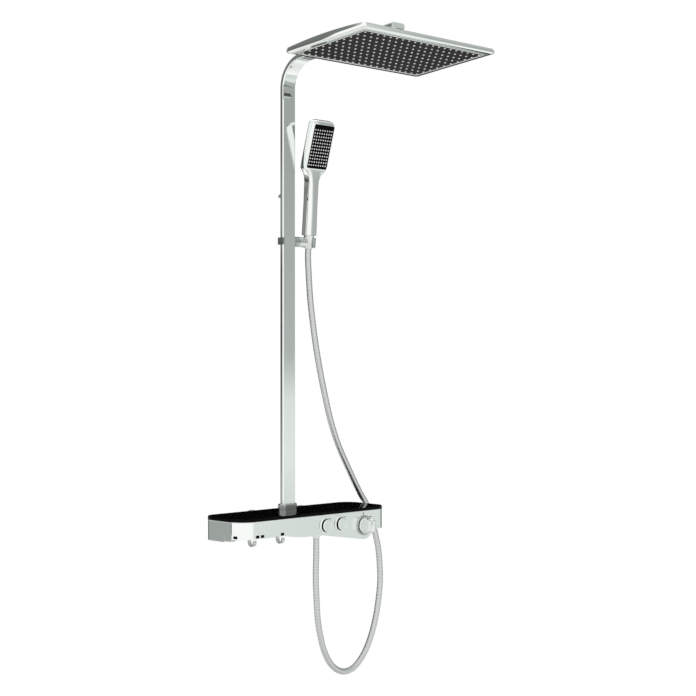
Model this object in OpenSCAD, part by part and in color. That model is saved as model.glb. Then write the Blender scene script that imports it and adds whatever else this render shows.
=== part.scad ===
// Wall mounted shower system: a glass topped shelf that hides the thermostatic valve,
// a flat riser with an overhead shower, and a hand shower on a sliding holder.
// Millimetres. The wall is the plane Y = 0 and the object stands in front of it, towards -Y.
// Z = 0 is the height of the two supply inlets and X = 0 is midway between them.

/* [Shelf] */
// Width of the shelf
shelf_w = 450; // [430:1:500]
// Depth of the shelf from back to front
shelf_d = 134; // [130:1:145]
// Corner radius of the shelf seen from above
shelf_r = 36; // [28:1:40]
// Gap between the wall and the back of the shelf
wall_gap = 7; // [6:0.5:9]
// Height of the glass top above the inlets
shelf_top = 26; // [25:0.5:30]
// Height of the plain part of the housing, from its rim down
housing_h = 44.6; // [43:0.2:50]
// Wall of the housing
housing_wall = 2.5; // [2:0.1:3]
// Thickness of the glass
glass_t = 6; // [4:0.5:8]
// Overhang of the glass past the housing
glass_lip = 0.6; // [0:0.1:1]
// Thickness of the gasket under the glass
gasket_t = 0.8; // [0.5:0.1:1.5]

/* [Thermostat] */
// Knob centre, to the right of the middle
knob_x = 145; // [140:1:150]
// Knob centre, below the inlets
knob_drop = 14; // [12:1:15]
// Radius of the rounded lobe below the knob
lobe_r = 32; // [30:1:34]
// Left end of the sloping underside
slope_x = 8; // [0:1:12]
// Radius of the knob
knob_r = 19.5; // [18:0.5:20]
// Length of the knob's round base
knob_base = 6; // [5:0.5:8]
// How far the grip stands out from the housing
grip_reach = 35; // [33:1:40]
// Height of the grip at its root
grip_root_h = 35; // [30:1:36]
// Height of the grip at its tip
grip_tip_h = 26; // [22:1:28]
// Thickness of the grip
grip_t = 11; // [10:0.5:12]
// Radius of the safety button on the grip
safety_r = 3.5; // [2.5:0.5:3.5]

/* [Push buttons] */
// Left button, to the right of the middle
button_1_x = 23.5; // [21:0.5:26]
// Right button, to the right of the middle
button_2_x = 70; // [68:0.5:74]
// Button centres, below the inlets
button_drop = 5; // [4:0.5:6]
// Radius of the push button cap
button_r = 14; // [12:0.5:14.5]
// Width of the ring round a button
button_ring_w = 3; // [2:0.5:3.5]
// How far the cap stands out from the housing
button_reach = 8; // [6:0.5:9]
// Travel of a push button
button_travel = 3; // [2:0.5:3.5]

/* [Hook rail] */
// Height of the recess that holds the rail
notch_h = 17; // [16:0.5:19]
// Right end of the recess, from the shelf's left end
notch_in = 124; // [119:1:129]
// Height of the rail
rail_h = 10; // [9:0.5:11]
// Thickness of the rail
rail_t = 12; // [11:0.5:13]
// How far the rail wraps back along the left end
rail_wrap = 57; // [50:1:64]
// Rest position of the left hook, from the shelf's left end
hook_1_in = 28; // [27:1:33]
// Rest position of the right hook, from the shelf's left end
hook_2_in = 109; // [101:1:110]
// Width of a hook
hook_w = 8; // [7:0.5:9]
// Thickness of a hook
hook_t = 3.5; // [3:0.5:4]
// Bend radius of a hook at mid thickness
hook_r = 8.5; // [8:0.5:10]

/* [Riser] */
// Width of the flat riser tube
tube_w = 38; // [34:0.5:39]
// Thickness of the flat riser tube
tube_t = 12; // [10:0.5:13]
// Radius of the riser tube's front edges
tube_edge = 2.5; // [2:0.5:4]
// Radius of the riser tube's back edges
tube_back_edge = 5; // [3:0.5:6]
// Wall of the riser tube
tube_wall = 1.5; // [1.2:0.1:1.8]
// Distance from the wall to the middle of the riser
riser_y = 40; // [38:0.5:42]
// Height of the start of the bend above the inlets
bend_z = 980; // [900:5:1050]
// Bend radius at mid thickness
bend_r = 66; // [60:1:72]
// Rise of the arm and the overhead shower towards the front, in degrees
arm_rise = 5.5; // [0:0.5:8]
// Distance from the wall to the end of the arm
arm_end = 386; // [384:1:420]
// Distance from the wall to the middle of the overhead shower
head_out = 368.8; // [360:0.2:372]
// Width of the collar at the foot of the riser
collar_w = 50; // [48:1:56]
// Depth of the collar at the foot of the riser
collar_d = 22; // [20:1:26]
// Height of the collar at the foot of the riser
collar_h = 13; // [10:1:16]
// Height of the wall fixing lug above the inlets
lug_z = 733; // [726:1:740]
// Depth of the wall fixing lug
lug_d = 11; // [10:1:13]

/* [Overhead shower] */
// Width of the overhead shower
head_w = 404; // [396:1:420]
// Depth of the overhead shower
head_d = 232; // [224:1:240]
// Height of the rim
rim_h = 8; // [7:0.5:9]
// Height of the cover's edge on the rim
cover_t = 4; // [3:0.5:5]
// Rise of the arched cover from its edge to its middle
crown = 5; // [3:0.5:7]
// Corner radius of the overhead shower
head_r = 6; // [5:1:12]
// Border beside the black spray face
face_side = 20; // [18:1:24]
// Border before and behind the black spray face
face_end = 17; // [16:1:19]
// Length of the spray face that its nozzle grid leaves free across
nozzle_free_x = 14.4; // [8:0.1:40]
// Length of the spray face that its nozzle grid leaves free along
nozzle_free_y = 15.3; // [12:0.1:27]
// Radius of a nozzle
nozzle_r = 2.1; // [1.8:0.1:2.5]
// Radius of the swivel ball
ball_r = 12; // [11:0.5:12.5]
// Height of the swivel ball above the spray face
ball_h = 30; // [29.5:0.5:31]

/* [Hand shower] */
// Holder axis, to the right of the middle
hold_x = 66; // [64:0.5:68]
// Height of the holder axis above the inlets
hold_z = 634; // [560:1:640]
// Forward lean of the handle, in degrees
hand_lean = 4; // [3:0.5:5]
// Diameter of the holder arm
hold_d = 23; // [21:0.5:25]
// Outside diameter of the holder ring
ring_d = 32; // [30:0.5:34]
// Width of the slot in the holder ring
ring_slot = 15.6; // [15:0.2:18]
// Turn of the slot from the front towards the riser, in degrees
slot_turn = 25; // [0:5:35]
// Width of the hand shower's head
hand_w = 68; // [64:1:74]
// Thickness of the hand shower's head
hand_t = 24; // [22:1:26]
// Width of the hand shower's spray face
hand_face_w = 61; // [57:1:62]
// Length of the hand shower's spray face
hand_face_l = 100; // [96:1:104]
// Nozzle pitch on the hand shower
hand_pitch = 7.3; // [6.8:0.1:7.5]

/* [Supply] */
// Distance between the two inlets
inlet_pitch = 150; // [146:1:154]
// Radius of the inlet threads that go into the wall
spigot_r = 10.45; // [9:0.05:11]
// Length of the inlet threads that go into the wall
spigot_l = 18; // [14:1:22]
// Outside diameter of the hose
hose_d = 14; // [13:0.5:14]
// Bore of the hose
hose_bore = 8; // [7:0.5:9]

/* [Hidden] */

// Places on the hook rail, measured from the shelf's left end
notch_x = notch_in - shelf_w / 2;
hook_1_x = hook_1_in - shelf_w / 2;
hook_2_x = hook_2_in - shelf_w / 2;

$fn = 48;
// Clearance of a running fit, on the radius
fit = 0.05;
// Clearance between pieces that move past each other
gap = 0.3;

chrome = [0.80, 0.82, 0.81];
glass_black = [0.02, 0.02, 0.02];
plastic_black = [0.06, 0.06, 0.06];
silicone_white = [0.92, 0.92, 0.90];
silicone_grey = [0.35, 0.36, 0.36];
brass = [0.78, 0.62, 0.32];
steel = [0.70, 0.71, 0.72];
plastic_grey = [0.55, 0.56, 0.57];
rubber = [0.08, 0.08, 0.08];

// Shelf: the rim carries the gasket, and the gasket carries the glass
glass_z = shelf_top - glass_t;
rim_z = glass_z - gasket_t;
floor_z = rim_z - housing_h;
shelf_back = -wall_gap;
shelf_mid = shelf_back - shelf_d / 2;
front_y = shelf_back - shelf_d;
inner_front = front_y + housing_wall;

// Thermostat
knob_z = -knob_drop;
knob_hole_r = 12;
knob_gap = 1.2;
knob_back = front_y - knob_gap;
knob_face = knob_back - knob_base;
knob_tip = front_y - grip_reach;
knob_hub_r = 8;
knob_hub_back = front_y + 13;
stem_r = 4;
stem_tip = front_y - 7;
cartridge_r = 17;
cartridge_front = knob_hub_back + 6.5;
cartridge_back = cartridge_front + 44;
boss_r = 21;
boss_front = cartridge_front + 10;
boss_back = shelf_back - 28;
stop_ring_t = 4.5;
stop_ring_r = 15;
stop_notch_w = 12;
stop_notch_z = 11;
knob_ring_r = knob_r + 3.5;
knob_ring_t = 3;
safety_y = front_y - 25;
safety_l = 8;
safety_proud = 2.5;
safety_travel = 1.2;

// Push buttons
button_z = -button_drop;
button_ring_t = 3;
button_back = inner_front + 1.5;
button_stem_r = 4;
push_r = 12.9;
push_front = button_back + button_travel + 4.5;
push_back = push_front + 44;
push_boss_r = 15;
push_boss_front = push_front + 24;
push_bore = 22;

// Valve body
valve_y = -riser_y - 12;
valve_z = -4;
valve_r = 14;
valve_left = -inlet_pitch / 2 - 17;
tail_r = 10.5;
tail_bore = 7.5;
tail_flange_r = 12.8;
tail_flange_y = -22.5;
tail_flange_t = 3;
foot_w = 18;
foot_x = [-60, 105];
gallery_r = 7;
riser_boss_r = 11;
riser_boss_h = valve_r + 0.5;
riser_port_r = 6;
outlet_bore = 7;
chassis_t = 2;
chassis_z = floor_z + housing_wall;
chassis_d = 40;
chassis_left = valve_left - 12;
chassis_right = 116;
outlet_x = 58;
outlet_y = -74;
outlet_r = 10.4;
outlet_z = -25;
outlet_top = button_z - 3;

// Inlet unions
rose_r = 27;
rose_t = 5;
union_r = 13.2;
union_end = -20;
union_bore = 7;
nut_af = 30;
nut_front = -30;
nut_back = -13;
washer_t = 2.5;
check_l = 16;
check_bore = 3;
nut_notch_w = 40;

// Hook rail
notch_top = floor_z + notch_h;
// The end of the recess, as steps to the right of its top corner and down from it
notch_end = [[0, 0], [1, 3], [3, 6], [7.5, 10.4], [14, 12.2], [24, 13.4], [43, 15.8], [60, notch_h]];
rail_inset = 0.5;
rail_top = notch_top;
rail_bottom = rail_top - rail_h;
rail_mid = front_y + rail_inset + rail_t / 2;
cap_screw = [6 - shelf_w / 2, front_y + rail_wrap - 8];
cap_l = 24;
cap_h = 14.5;
window_w = 10;
window_h = 6;
window_d = 2;
window_x = [for (x = [46, 60, 118]) x - shelf_w / 2];
// Direction of the window in the rounded corner, in degrees
window_turn = 200;
screw_head_r = 2.8;
screw_head_h = 1.6;
screw_r = 1.5;
screw_bite = 3;
track_w = 4;
track_slot = 2;
track_lip = 2.5;
rail_screw_x = [-190, -150, -125];
track_start = hook_1_x - 6;
track_end = notch_x - 3;
carrier_w = 10;
hook_stem = 4;
hook_tip = 1.5;

// Riser
tube_y = -riser_y;
tube_back = tube_y + tube_t / 2;
bend_y = tube_y - bend_r;
arm_turn = 90 - arm_rise;
arm_start = [0, bend_y + bend_r * cos(arm_turn), bend_z + bend_r * sin(arm_turn)];
arm_l = (arm_start[1] + arm_end) / cos(arm_rise);
cap_t = 2;
weld_l = 2;
weld_rise = 0.02;
water_way_r = 5;
socket_w = tube_w + 9;
socket_d = tube_t + 10;
socket_z = valve_z + riser_boss_h;
tube_foot = socket_z + 1;
socket_top = glass_z - 0.3;
lug_w = 26;
lug_h = 11;
lug_nose = 5;
lug_bore = 1.6;
lug_bore_l = 8;

// Overhead shower, in its own tilted frame whose origin is the middle of the spray face
arm_under = bend_r - tube_t / 2;
// Height of the arm's mid line above the spray face, square to it
head_drop = 57;
head_y = -head_out;
head_z = arm_start[2] + tan(arm_rise) * (arm_start[1] + head_out) - head_drop / cos(arm_rise);
boss_top = head_drop - tube_t / 2;
boss_bottom = ball_h + 14;
arm_boss_r = 14;
ball_neck_r = 7;
ball_stem_r = 8;
ball_stem_top = boss_top - 1;
ball_gap = 0.3;
collar_r = 19;
collar_bore = 15.3;
collar_top = ball_h - 2;
cover_top = rim_h + cover_t + crown;
cover_skin = 1.5;
cover_in = 1.5;
cover_border = 12;
spray_port_r = 4;
arch_r = (pow(head_d / 2 - cover_in, 2) + pow(crown, 2)) / (2 * crown);
swivel_r = 22;
swivel_top = ball_h + 7;
swivel_bottom = cover_top + 2;
seat_r = 15;
face_z = 1;
face_t = 2;
mat_t = 1.6;
nozzle_tip = -0.6;
nozzle_nx = 20;
nozzle_ny = 10;

// Spray face and its nozzle grid, from the overhead shower's size
face_w = head_w - 2 * face_side;
face_d = head_d - 2 * face_end;
nozzle_px = (face_w - nozzle_free_x) / (nozzle_nx - 1);
nozzle_py = (face_d - nozzle_free_y) / (nozzle_ny - 1);

// Hand shower: the ring's centre is the origin of the leaning frame
hold_y = tube_y;
cone_top = 16;
cone_bottom = -14;
cone_top_r = 12.2;
cone_bottom_r = 8;
pin_r = 6;
slider_h = 16;
slider_wall = 2;
slider_back_wall = 3;
slider_lip = 3;
slider_boss_end = 30;
pin_end = slider_boss_end + 16;
holder_start = slider_boss_end + gap;
pad_r = 5;
handle_foot = 17;
inlet_r = 10.4;
inlet_bottom = 8.5;
inlet_step = 1.4;
foot_play = 0.2;
inlet_top = 34;
hand_bore = 4.5;
hand_nx = 8;
hand_ny = 12;
hand_face_t = 3;
hand_mat_t = 1.4;
hand_nozzle_r = 1;
// Lean of the hand shower's head, in degrees
head_lean = 16.35;
// Middle of the lower edge of the hand shower's spray face
plate_y = -66.1 + tube_y + 40;
plate_z = hold_z + 168.2;

// Sections of the hand shower from its foot to its top: distance in front of the holder axis,
// height above it, lean, width and thickness
hand_sections = [
    [1.2, 16.8, 4, 31, 28],
    [3.2, 46, 4, 30.4, 27.6],
    [5.4, 78, 4, 29.6, 27],
    [7.4, 108, 4, 29, 26.5],
    [9.2, 134, 5, 28.6, 26],
    [10.2, 145, 7, 31, 25.6],
    [11.3, 153, 10, 37, 25.2],
    [12.6, 160, 13, 48, 24.8],
    [13.9, 166, 15, 61, 24.4],
    [15.6, 172.5, head_lean, hand_w - 1, hand_t],
    [28.5, 216.5, head_lean, hand_w, hand_t],
    [42.2, 263, head_lean, hand_w, hand_t],
    [43.8, 268.5, head_lean, hand_w - 2, hand_t - 1],
    [45.0, 272.6, head_lean, hand_w - 7, hand_t - 3],
    [45.8, 275.5, head_lean, hand_w - 15, hand_t - 7],
    [46.2, 276.8, head_lean, hand_w - 24, hand_t - 14]];

// Route of the hose, from its lower nut to the cone below the hand shower
hose_route = [
    [58, -74, -41], [58, -74, -56], [57.5, -74, -90], [57.5, -73, -130], [59.5, -73, -180],
    [65.5, -72, -235], [77, -72, -283], [91, -71, -314], [109, -71, -339], [134, -70, -356],
    [159, -70, -361], [186, -69, -355], [210, -69, -337], [231, -68, -312], [248, -67, -281],
    [262, -66, -244], [271.5, -65, -206], [278, -64, -165], [277.5, -63, -124], [274, -62, -88],
    [266, -60, -52], [254.5, -57, -12], [240, -54, 23], [221.5, -51, 51], [186, -49, 109],
    [153, -48, 167], [129.5, -47, 224], [113, -46, 280], [98.5, -45, 336], [86.5, -44, 391],
    [77, -43, 447], [70.5, -41, 502], [67.5, -39, 557], [66.2, -38, 592], [66, -38, 606],
    [66, -39, 619.9]];
hose_top = hose_route[len(hose_route) - 1];
hose_foot = hose_route[0];
rib_pitch = 7.7;
rib_depth = 0.9;
hose_sides = 8;
hose_nut_r = 10.9;
hose_nut_top = -21;
hose_nut_cone = 5;
knurl_r = 0.7;

// A rectangle with round corners, centred, from squares and circles
module rounded_rect(w, d, r) {
    square([w - 2 * r, d], center = true);
    square([w, d - 2 * r], center = true);
    for (x = [-1, 1], y = [-1, 1])
        translate([x * (w / 2 - r), y * (d / 2 - r)]) circle(r);
}

// A slot shape with round ends, centred
module stadium(w, d) {
    square([w - d, d], center = true);
    for (x = [-1, 1]) translate([x * (w - d) / 2, 0]) circle(d / 2);
}

// A cylinder along Y from y1 to y2
module along_y(x, z, r, y1, y2) {
    translate([x, max(y1, y2), z]) rotate([90, 0, 0]) cylinder(r = r, h = abs(y2 - y1));
}

// A cylinder along X from x1 to x2
module along_x(y, z, r, x1, x2) {
    translate([x1, y, z]) rotate([0, 90, 0]) cylinder(r = r, h = x2 - x1);
}

// The shelf seen from above, drawn in by inset
module plan(inset) {
    translate([0, shelf_mid]) rounded_rect(shelf_w - 2 * inset, shelf_d - 2 * inset, shelf_r - inset);
}

// The housing seen from the front, drawn in by inset: a bar with a sloping lobe below the knob
module front_outline(inset) {
    low = floor_z + inset;
    lobe = lobe_r - inset;
    // The slope ends this far inside the lobe, so that the two cross cleanly
    bite = 0.02;
    reach = norm([knob_x - slope_x, knob_z - floor_z]);
    slope = atan2(knob_z - floor_z, knob_x - slope_x) - asin(lobe_r / reach);
    translate([-shelf_w / 2, low]) square([shelf_w, rim_z - low + 1]);
    translate([knob_x, knob_z]) circle(lobe);
    polygon([
        [slope_x + inset * tan(slope / 2), low],
        [knob_x + (lobe - bite) * sin(slope), knob_z - (lobe - bite) * cos(slope)],
        [knob_x, knob_z],
        [knob_x, low + 1],
        [slope_x, low + 1]]);
}

// The body of the housing, drawn in by inset
module housing_form(inset) {
    intersection() {
        translate([0, 0, floor_z - lobe_r - 10]) linear_extrude(rim_z - floor_z + lobe_r + 10) plan(inset);
        translate([0, shelf_back + 1, 0]) rotate([90, 0, 0]) linear_extrude(shelf_d + 2) front_outline(inset);
    }
}

// The recess for the hook rail, grown by grow
module rail_recess(grow) {
    low = floor_z - lobe_r;
    translate([0, front_y + rail_wrap + grow, 0]) rotate([90, 0, 0]) linear_extrude(rail_wrap + grow + 1)
        polygon([
            [-shelf_w / 2 - 2, low],
            [-shelf_w / 2 - 2, notch_top + grow],
            for (e = notch_end) [notch_x + e[0] + grow, notch_top - e[1] + grow],
            [notch_x + notch_end[len(notch_end) - 1][0] + grow, low]]);
}

module shelf_housing() color(chrome) difference() {
    housing_form(0);
    difference() {
        housing_form(housing_wall);
        rail_recess(housing_wall);
    }
    rail_recess(0);
    for (x = rail_screw_x) rail_screw(x, rail_mid, fit);
    rail_screw(cap_screw[0], cap_screw[1], fit);
    // Openings for the knob and the push buttons
    along_y(knob_x, knob_z, knob_hole_r, inner_front + 1, front_y - 1);
    for (x = [button_1_x, button_2_x])
        along_y(x, button_z, button_r + gap + 0.1, inner_front + 1, front_y - 1);
    // Openings for the union nuts, and for the hose nut
    for (x = [-1, 1] * inlet_pitch / 2)
        translate([x - nut_notch_w / 2, shelf_back - housing_wall - 1, -nut_notch_w / 2 + 2])
            cube([nut_notch_w, housing_wall + 2, rim_z + nut_notch_w]);
    translate([outlet_x, outlet_y, floor_z - lobe_r]) cylinder(r = hose_nut_r + 2, h = lobe_r + 6);
}

module glass_gasket() color(rubber) translate([0, 0, rim_z]) linear_extrude(gasket_t) difference() {
    plan(0.3);
    plan(housing_wall - 0.2);
}

module glass_shelf() color(glass_black) difference() {
    translate([0, 0, glass_z]) {
        linear_extrude(glass_t - 1) plan(-glass_lip);
        translate([0, 0, glass_t - 1]) linear_extrude(1) plan(0.4 - glass_lip);
    }
    // The riser passes through a slot below the collar
    translate([0, tube_y, glass_z - 1]) linear_extrude(glass_t + 2)
        square([tube_w + 2, tube_t + 2], center = true);
}

module chassis() color(steel) difference() {
    translate([chassis_left, valve_y - chassis_d / 2, chassis_z])
        cube([chassis_right - chassis_left, chassis_d, chassis_t]);
    translate([outlet_x, outlet_y, chassis_z - 1]) cylinder(r = hose_nut_r + 3, h = chassis_t + 2);
}

module valve_body() color(brass) difference() {
    union() {
        along_x(valve_y, valve_z, valve_r, valve_left, knob_x - boss_r + 4);
        along_y(knob_x, knob_z, boss_r, boss_back, boss_front);
        for (x = [button_1_x, button_2_x])
            along_y(x, button_z, push_boss_r, valve_y, push_boss_front);
        for (x = [-1, 1] * inlet_pitch / 2) {
            along_y(x, 0, tail_r, tail_flange_y, valve_y);
            along_y(x, 0, tail_flange_r, tail_flange_y, tail_flange_y - tail_flange_t);
        }
        // Boss below the riser, feet on the chassis and the hose outlet
        translate([0, tube_y, valve_z]) cylinder(r = riser_boss_r, h = riser_boss_h);
        for (x = foot_x)
            translate([x - foot_w / 2, valve_y - foot_w / 2, chassis_z + chassis_t])
                cube([foot_w, foot_w, valve_z - chassis_z - chassis_t]);
        translate([outlet_x, outlet_y, outlet_z]) cylinder(r = outlet_r, h = outlet_top - outlet_z);
    }
    for (x = [-1, 1] * inlet_pitch / 2) along_y(x, 0, tail_bore, tail_flange_y + 1, valve_y);
    along_x(valve_y, valve_z, gallery_r, valve_left + 4, knob_x);
    along_y(knob_x, knob_z, cartridge_r + fit, cartridge_back, boss_front - 1);
    for (x = [button_1_x, button_2_x])
        along_y(x, button_z, push_r + fit, push_boss_front + push_bore, push_boss_front - 1);
    translate([0, tube_y, valve_z]) cylinder(r = riser_port_r, h = riser_boss_h + 1);
    translate([outlet_x, outlet_y, outlet_z - 1]) cylinder(r = outlet_bore, h = outlet_top - outlet_z - 2);
}

module wall_roses() color(chrome) for (x = [-1, 1] * inlet_pitch / 2)
    difference() {
        along_y(x, 0, rose_r, 0, -rose_t);
        along_y(x, 0, union_r + fit, 1, -rose_t - 1);
    }

module inlet_unions() color(brass) for (x = [-1, 1] * inlet_pitch / 2)
    difference() {
        union() {
            along_y(x, 0, spigot_r, spigot_l, 0);
            along_y(x, 0, union_r, 0, union_end);
        }
        along_y(x, 0, union_bore, spigot_l + 1, union_end - 1);
    }

module union_nuts() color(chrome) for (x = [-1, 1] * inlet_pitch / 2)
    difference() {
        translate([x, nut_back, 0]) rotate([90, 30, 0]) cylinder(r = nut_af / 2 / cos(30), h = nut_back - nut_front, $fn = 6);
        along_y(x, 0, union_r + fit, nut_back + 1, tail_flange_y - tail_flange_t - 0.3);
        along_y(x, 0, tail_r + fit, 0, nut_front - 1);
    }

module inlet_washers() color(rubber) for (x = [-1, 1] * inlet_pitch / 2)
    difference() {
        along_y(x, 0, tail_flange_r - 0.3, union_end, union_end - washer_t);
        along_y(x, 0, tail_bore, union_end + 1, union_end - washer_t - 1);
    }

module check_valves() color(plastic_grey) for (x = [-1, 1] * inlet_pitch / 2)
    difference() {
        along_y(x, 0, tail_bore - fit, tail_flange_y - 1, tail_flange_y - 1 - check_l);
        along_y(x, 0, check_bore, tail_flange_y, tail_flange_y - check_l + 3);
    }

module thermostat_cartridge() color(brass) {
    along_y(knob_x, knob_z, cartridge_r, cartridge_back, cartridge_front);
    along_y(knob_x, knob_z, stem_r, cartridge_front, stem_tip);
}

module stop_ring() color(plastic_grey) difference() {
    along_y(knob_x, knob_z, stop_ring_r, cartridge_front, cartridge_front - stop_ring_t);
    along_y(knob_x, knob_z, stem_r + gap, cartridge_front + 1, cartridge_front - stop_ring_t - 1);
    // Notch that locates the ring on its cartridge
    translate([knob_x - stop_notch_w / 2, cartridge_front - stop_ring_t - 1, knob_z + stop_notch_z])
        cube([stop_notch_w, 3, stop_ring_r]);
}

module knob_ring() color(chrome) difference() {
    along_y(knob_x, knob_z, knob_ring_r, front_y, front_y - knob_ring_t);
    along_y(knob_x, knob_z, knob_r + gap + 0.2, front_y + 1, front_y - knob_ring_t - 1);
}

// One end of the grip: a flat pad with round edges, standing on edge
module grip_pad(y, h, t) {
    translate([knob_x, y, knob_z]) rotate([90, 0, 0]) linear_extrude(0.5, $fn = 24) rounded_rect(t, h, t * 0.4);
}

module thermostat_knob() color(chrome) difference() {
    union() {
        // Round base with an eased front edge
        translate([knob_x, knob_back, knob_z]) rotate([90, 0, 0]) rotate_extrude() {
            square([knob_r, knob_base - 1.5]);
            square([knob_r - 1.5, knob_base]);
            translate([knob_r - 1.5, knob_base - 1.5]) circle(1.5, $fn = 24);
        }
        along_y(knob_x, knob_z, knob_hub_r, knob_hub_back, knob_back - 1);
        // Upright grip that narrows to its tip
        hull() {
            grip_pad(knob_back - 2, grip_root_h, grip_t);
            grip_pad(knob_face - 4, grip_root_h, grip_t);
            grip_pad(knob_tip + 3, grip_tip_h + 1, grip_t - 2.5);
            grip_pad(knob_tip + 0.5, grip_tip_h - 4, grip_t - 6);
        }
    }
    along_y(knob_x, knob_z, stem_r + gap, knob_hub_back + 1, stem_tip - gap);
    translate([knob_x, safety_y, knob_z + 5]) cylinder(r = safety_r + fit, h = grip_root_h);
}

// Top of the grip above the safety button
grip_run = (safety_y - (knob_face - 4)) / (knob_tip + 3 - (knob_face - 4));
grip_top = knob_z + grip_root_h / 2 - grip_run * (grip_root_h - grip_tip_h - 1) / 2;
safety_foot = knob_z + 5 + safety_travel + 0.3;

module safety_button() color(plastic_black) {
    top = grip_top + safety_proud;
    translate([knob_x, safety_y, safety_foot]) cylinder(r = safety_r, h = top - safety_foot - 0.6);
    translate([knob_x, safety_y, top - 0.6]) cylinder(r = safety_r - 0.5, h = 0.6);
}

module push_cartridges() color(brass) for (x = [button_1_x, button_2_x])
    difference() {
        along_y(x, button_z, push_r, push_back, push_front);
        along_y(x, button_z, button_stem_r + fit, push_front + button_travel + 9, push_front - 1);
    }

module button_rings() color(chrome) for (x = [button_1_x, button_2_x])
    difference() {
        union() {
            along_y(x, button_z, button_r + gap + 0.1 + button_ring_w, front_y, front_y - button_ring_t + 1);
            along_y(x, button_z, button_r + gap - 0.9 + button_ring_w, front_y, front_y - button_ring_t);
        }
        along_y(x, button_z, button_r + gap + 0.1, front_y + 1, front_y - button_ring_t - 1);
    }

// A push button's cap with a dished face, and the stem that works its cartridge
module push_button(x) {
    reach = button_back - (front_y - button_reach);
    translate([x, button_back, button_z]) rotate([90, 0, 0]) rotate_extrude() difference() {
        union() {
            square([button_r, reach - 1.5]);
            square([button_r - 1.5, reach]);
            translate([button_r - 1.5, reach - 1.5]) circle(1.5, $fn = 24);
        }
        translate([-button_r, reach - 0.8]) square([2 * button_r - 3.5, 1]);
        translate([-30, -30]) square([30, 60]);
    }
    along_y(x, button_z, button_stem_r, push_front + 6, button_back);
}

module push_button_head() color(chrome) push_button(button_1_x);
module push_button_hand() color(chrome) push_button(button_2_x);

// The run of the rail: a strip just inside the shelf's outline, round the left front corner
module rail_strip(inner, outer, right) {
    difference() {
        translate([-shelf_w / 2 - 1, front_y - 1]) square([right + shelf_w / 2 + 1, rail_wrap + 1]);
        plan(inner);
        difference() {
            translate([-shelf_w, front_y - 20]) square([2 * shelf_w, shelf_d + 60]);
            plan(outer);
        }
    }
}

// A small screw that holds the rail from inside the housing, grown by grow
module rail_screw(x, y, grow) {
    translate([x, y, notch_top + housing_wall]) cylinder(r = screw_head_r + grow, h = screw_head_h);
    translate([x, y, notch_top - screw_bite - grow])
        cylinder(r = screw_r + grow, h = housing_wall + screw_bite + grow + 0.5);
}

module rail_screws() color(steel) {
    for (x = rail_screw_x) rail_screw(x, rail_mid, 0);
    rail_screw(cap_screw[0], cap_screw[1], 0);
}

module hook_rail() color(chrome) difference() {
    translate([0, 0, rail_bottom]) linear_extrude(rail_h) intersection() {
        rail_strip(rail_inset + rail_t, rail_inset, notch_x);
        translate([-shelf_w, front_y - 20]) square([2 * shelf_w, rail_wrap + 20 - cap_l]);
    }
    for (x = rail_screw_x) rail_screw(x, rail_mid, fit);
    // The slot that the hooks hang in, open below
    translate([track_start, rail_mid - track_slot / 2, rail_bottom - 1])
        cube([track_end - track_start, track_slot, track_lip + 1.5]);
    translate([track_start, rail_mid - track_w / 2, rail_bottom + track_lip])
        cube([track_end - track_start, track_w, rail_h - track_lip - track_w]);
    // Windows in the front, and one in the rounded corner
    for (x = window_x) translate([x - window_w / 2, front_y - 1, rail_bottom + 2])
        cube([window_w, rail_inset + window_d + 1, window_h]);
    translate([shelf_r - shelf_w / 2, front_y + shelf_r, rail_bottom + 2]) rotate(window_turn)
        translate([shelf_r - rail_inset - window_d, -window_w / 2, 0]) cube([window_d + 3, window_w, window_h]);
}

module rail_end_cap() color(chrome) difference() {
    translate([0, 0, notch_top - cap_h]) linear_extrude(cap_h) difference() {
        rail_strip(rail_inset + rail_t, 0, notch_x);
        translate([-shelf_w, front_y - 20]) square([2 * shelf_w, rail_wrap + 20 - cap_l]);
    }
    rail_screw(cap_screw[0], cap_screw[1], fit);
}

// A hook: a carrier that runs in the rail, a stem, a half turn forwards and a short tip
module hook(x) {
    stem_z = rail_bottom - hook_stem;
    stem_y = rail_mid;
    slide = 0.3;
    translate([x - carrier_w / 2, stem_y - track_w / 2 + slide, rail_bottom + track_lip + slide])
        cube([carrier_w, track_w - 2 * slide, rail_h - track_lip - track_w - 2 * slide]);
    translate([x - hook_w / 2, stem_y - track_slot / 2 + slide, rail_bottom - 1])
        cube([hook_w, track_slot - 2 * slide, track_lip + 2]);
    translate([x - hook_w / 2, stem_y - hook_t / 2, stem_z]) cube([hook_w, hook_t, hook_stem - gap]);
    translate([x - hook_w / 2, stem_y - hook_r, stem_z]) rotate([90, 0, 90]) difference() {
        cylinder(r = hook_r + hook_t / 2, h = hook_w);
        translate([0, 0, -1]) cylinder(r = hook_r - hook_t / 2, h = hook_w + 2);
        translate([-2 * hook_r, 0, -1]) cube([4 * hook_r, 3 * hook_r, hook_w + 2]);
    }
    translate([x - hook_w / 2, stem_y - 2 * hook_r - hook_t / 2, stem_z]) cube([hook_w, hook_t, hook_tip]);
    translate([x - hook_w / 2, stem_y - 2 * hook_r, stem_z + hook_tip]) rotate([0, 90, 0])
        cylinder(r = hook_t / 2, h = hook_w);
}

module hook_left() color(chrome) hook(hook_1_x);
module hook_right() color(chrome) hook(hook_2_x);

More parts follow.
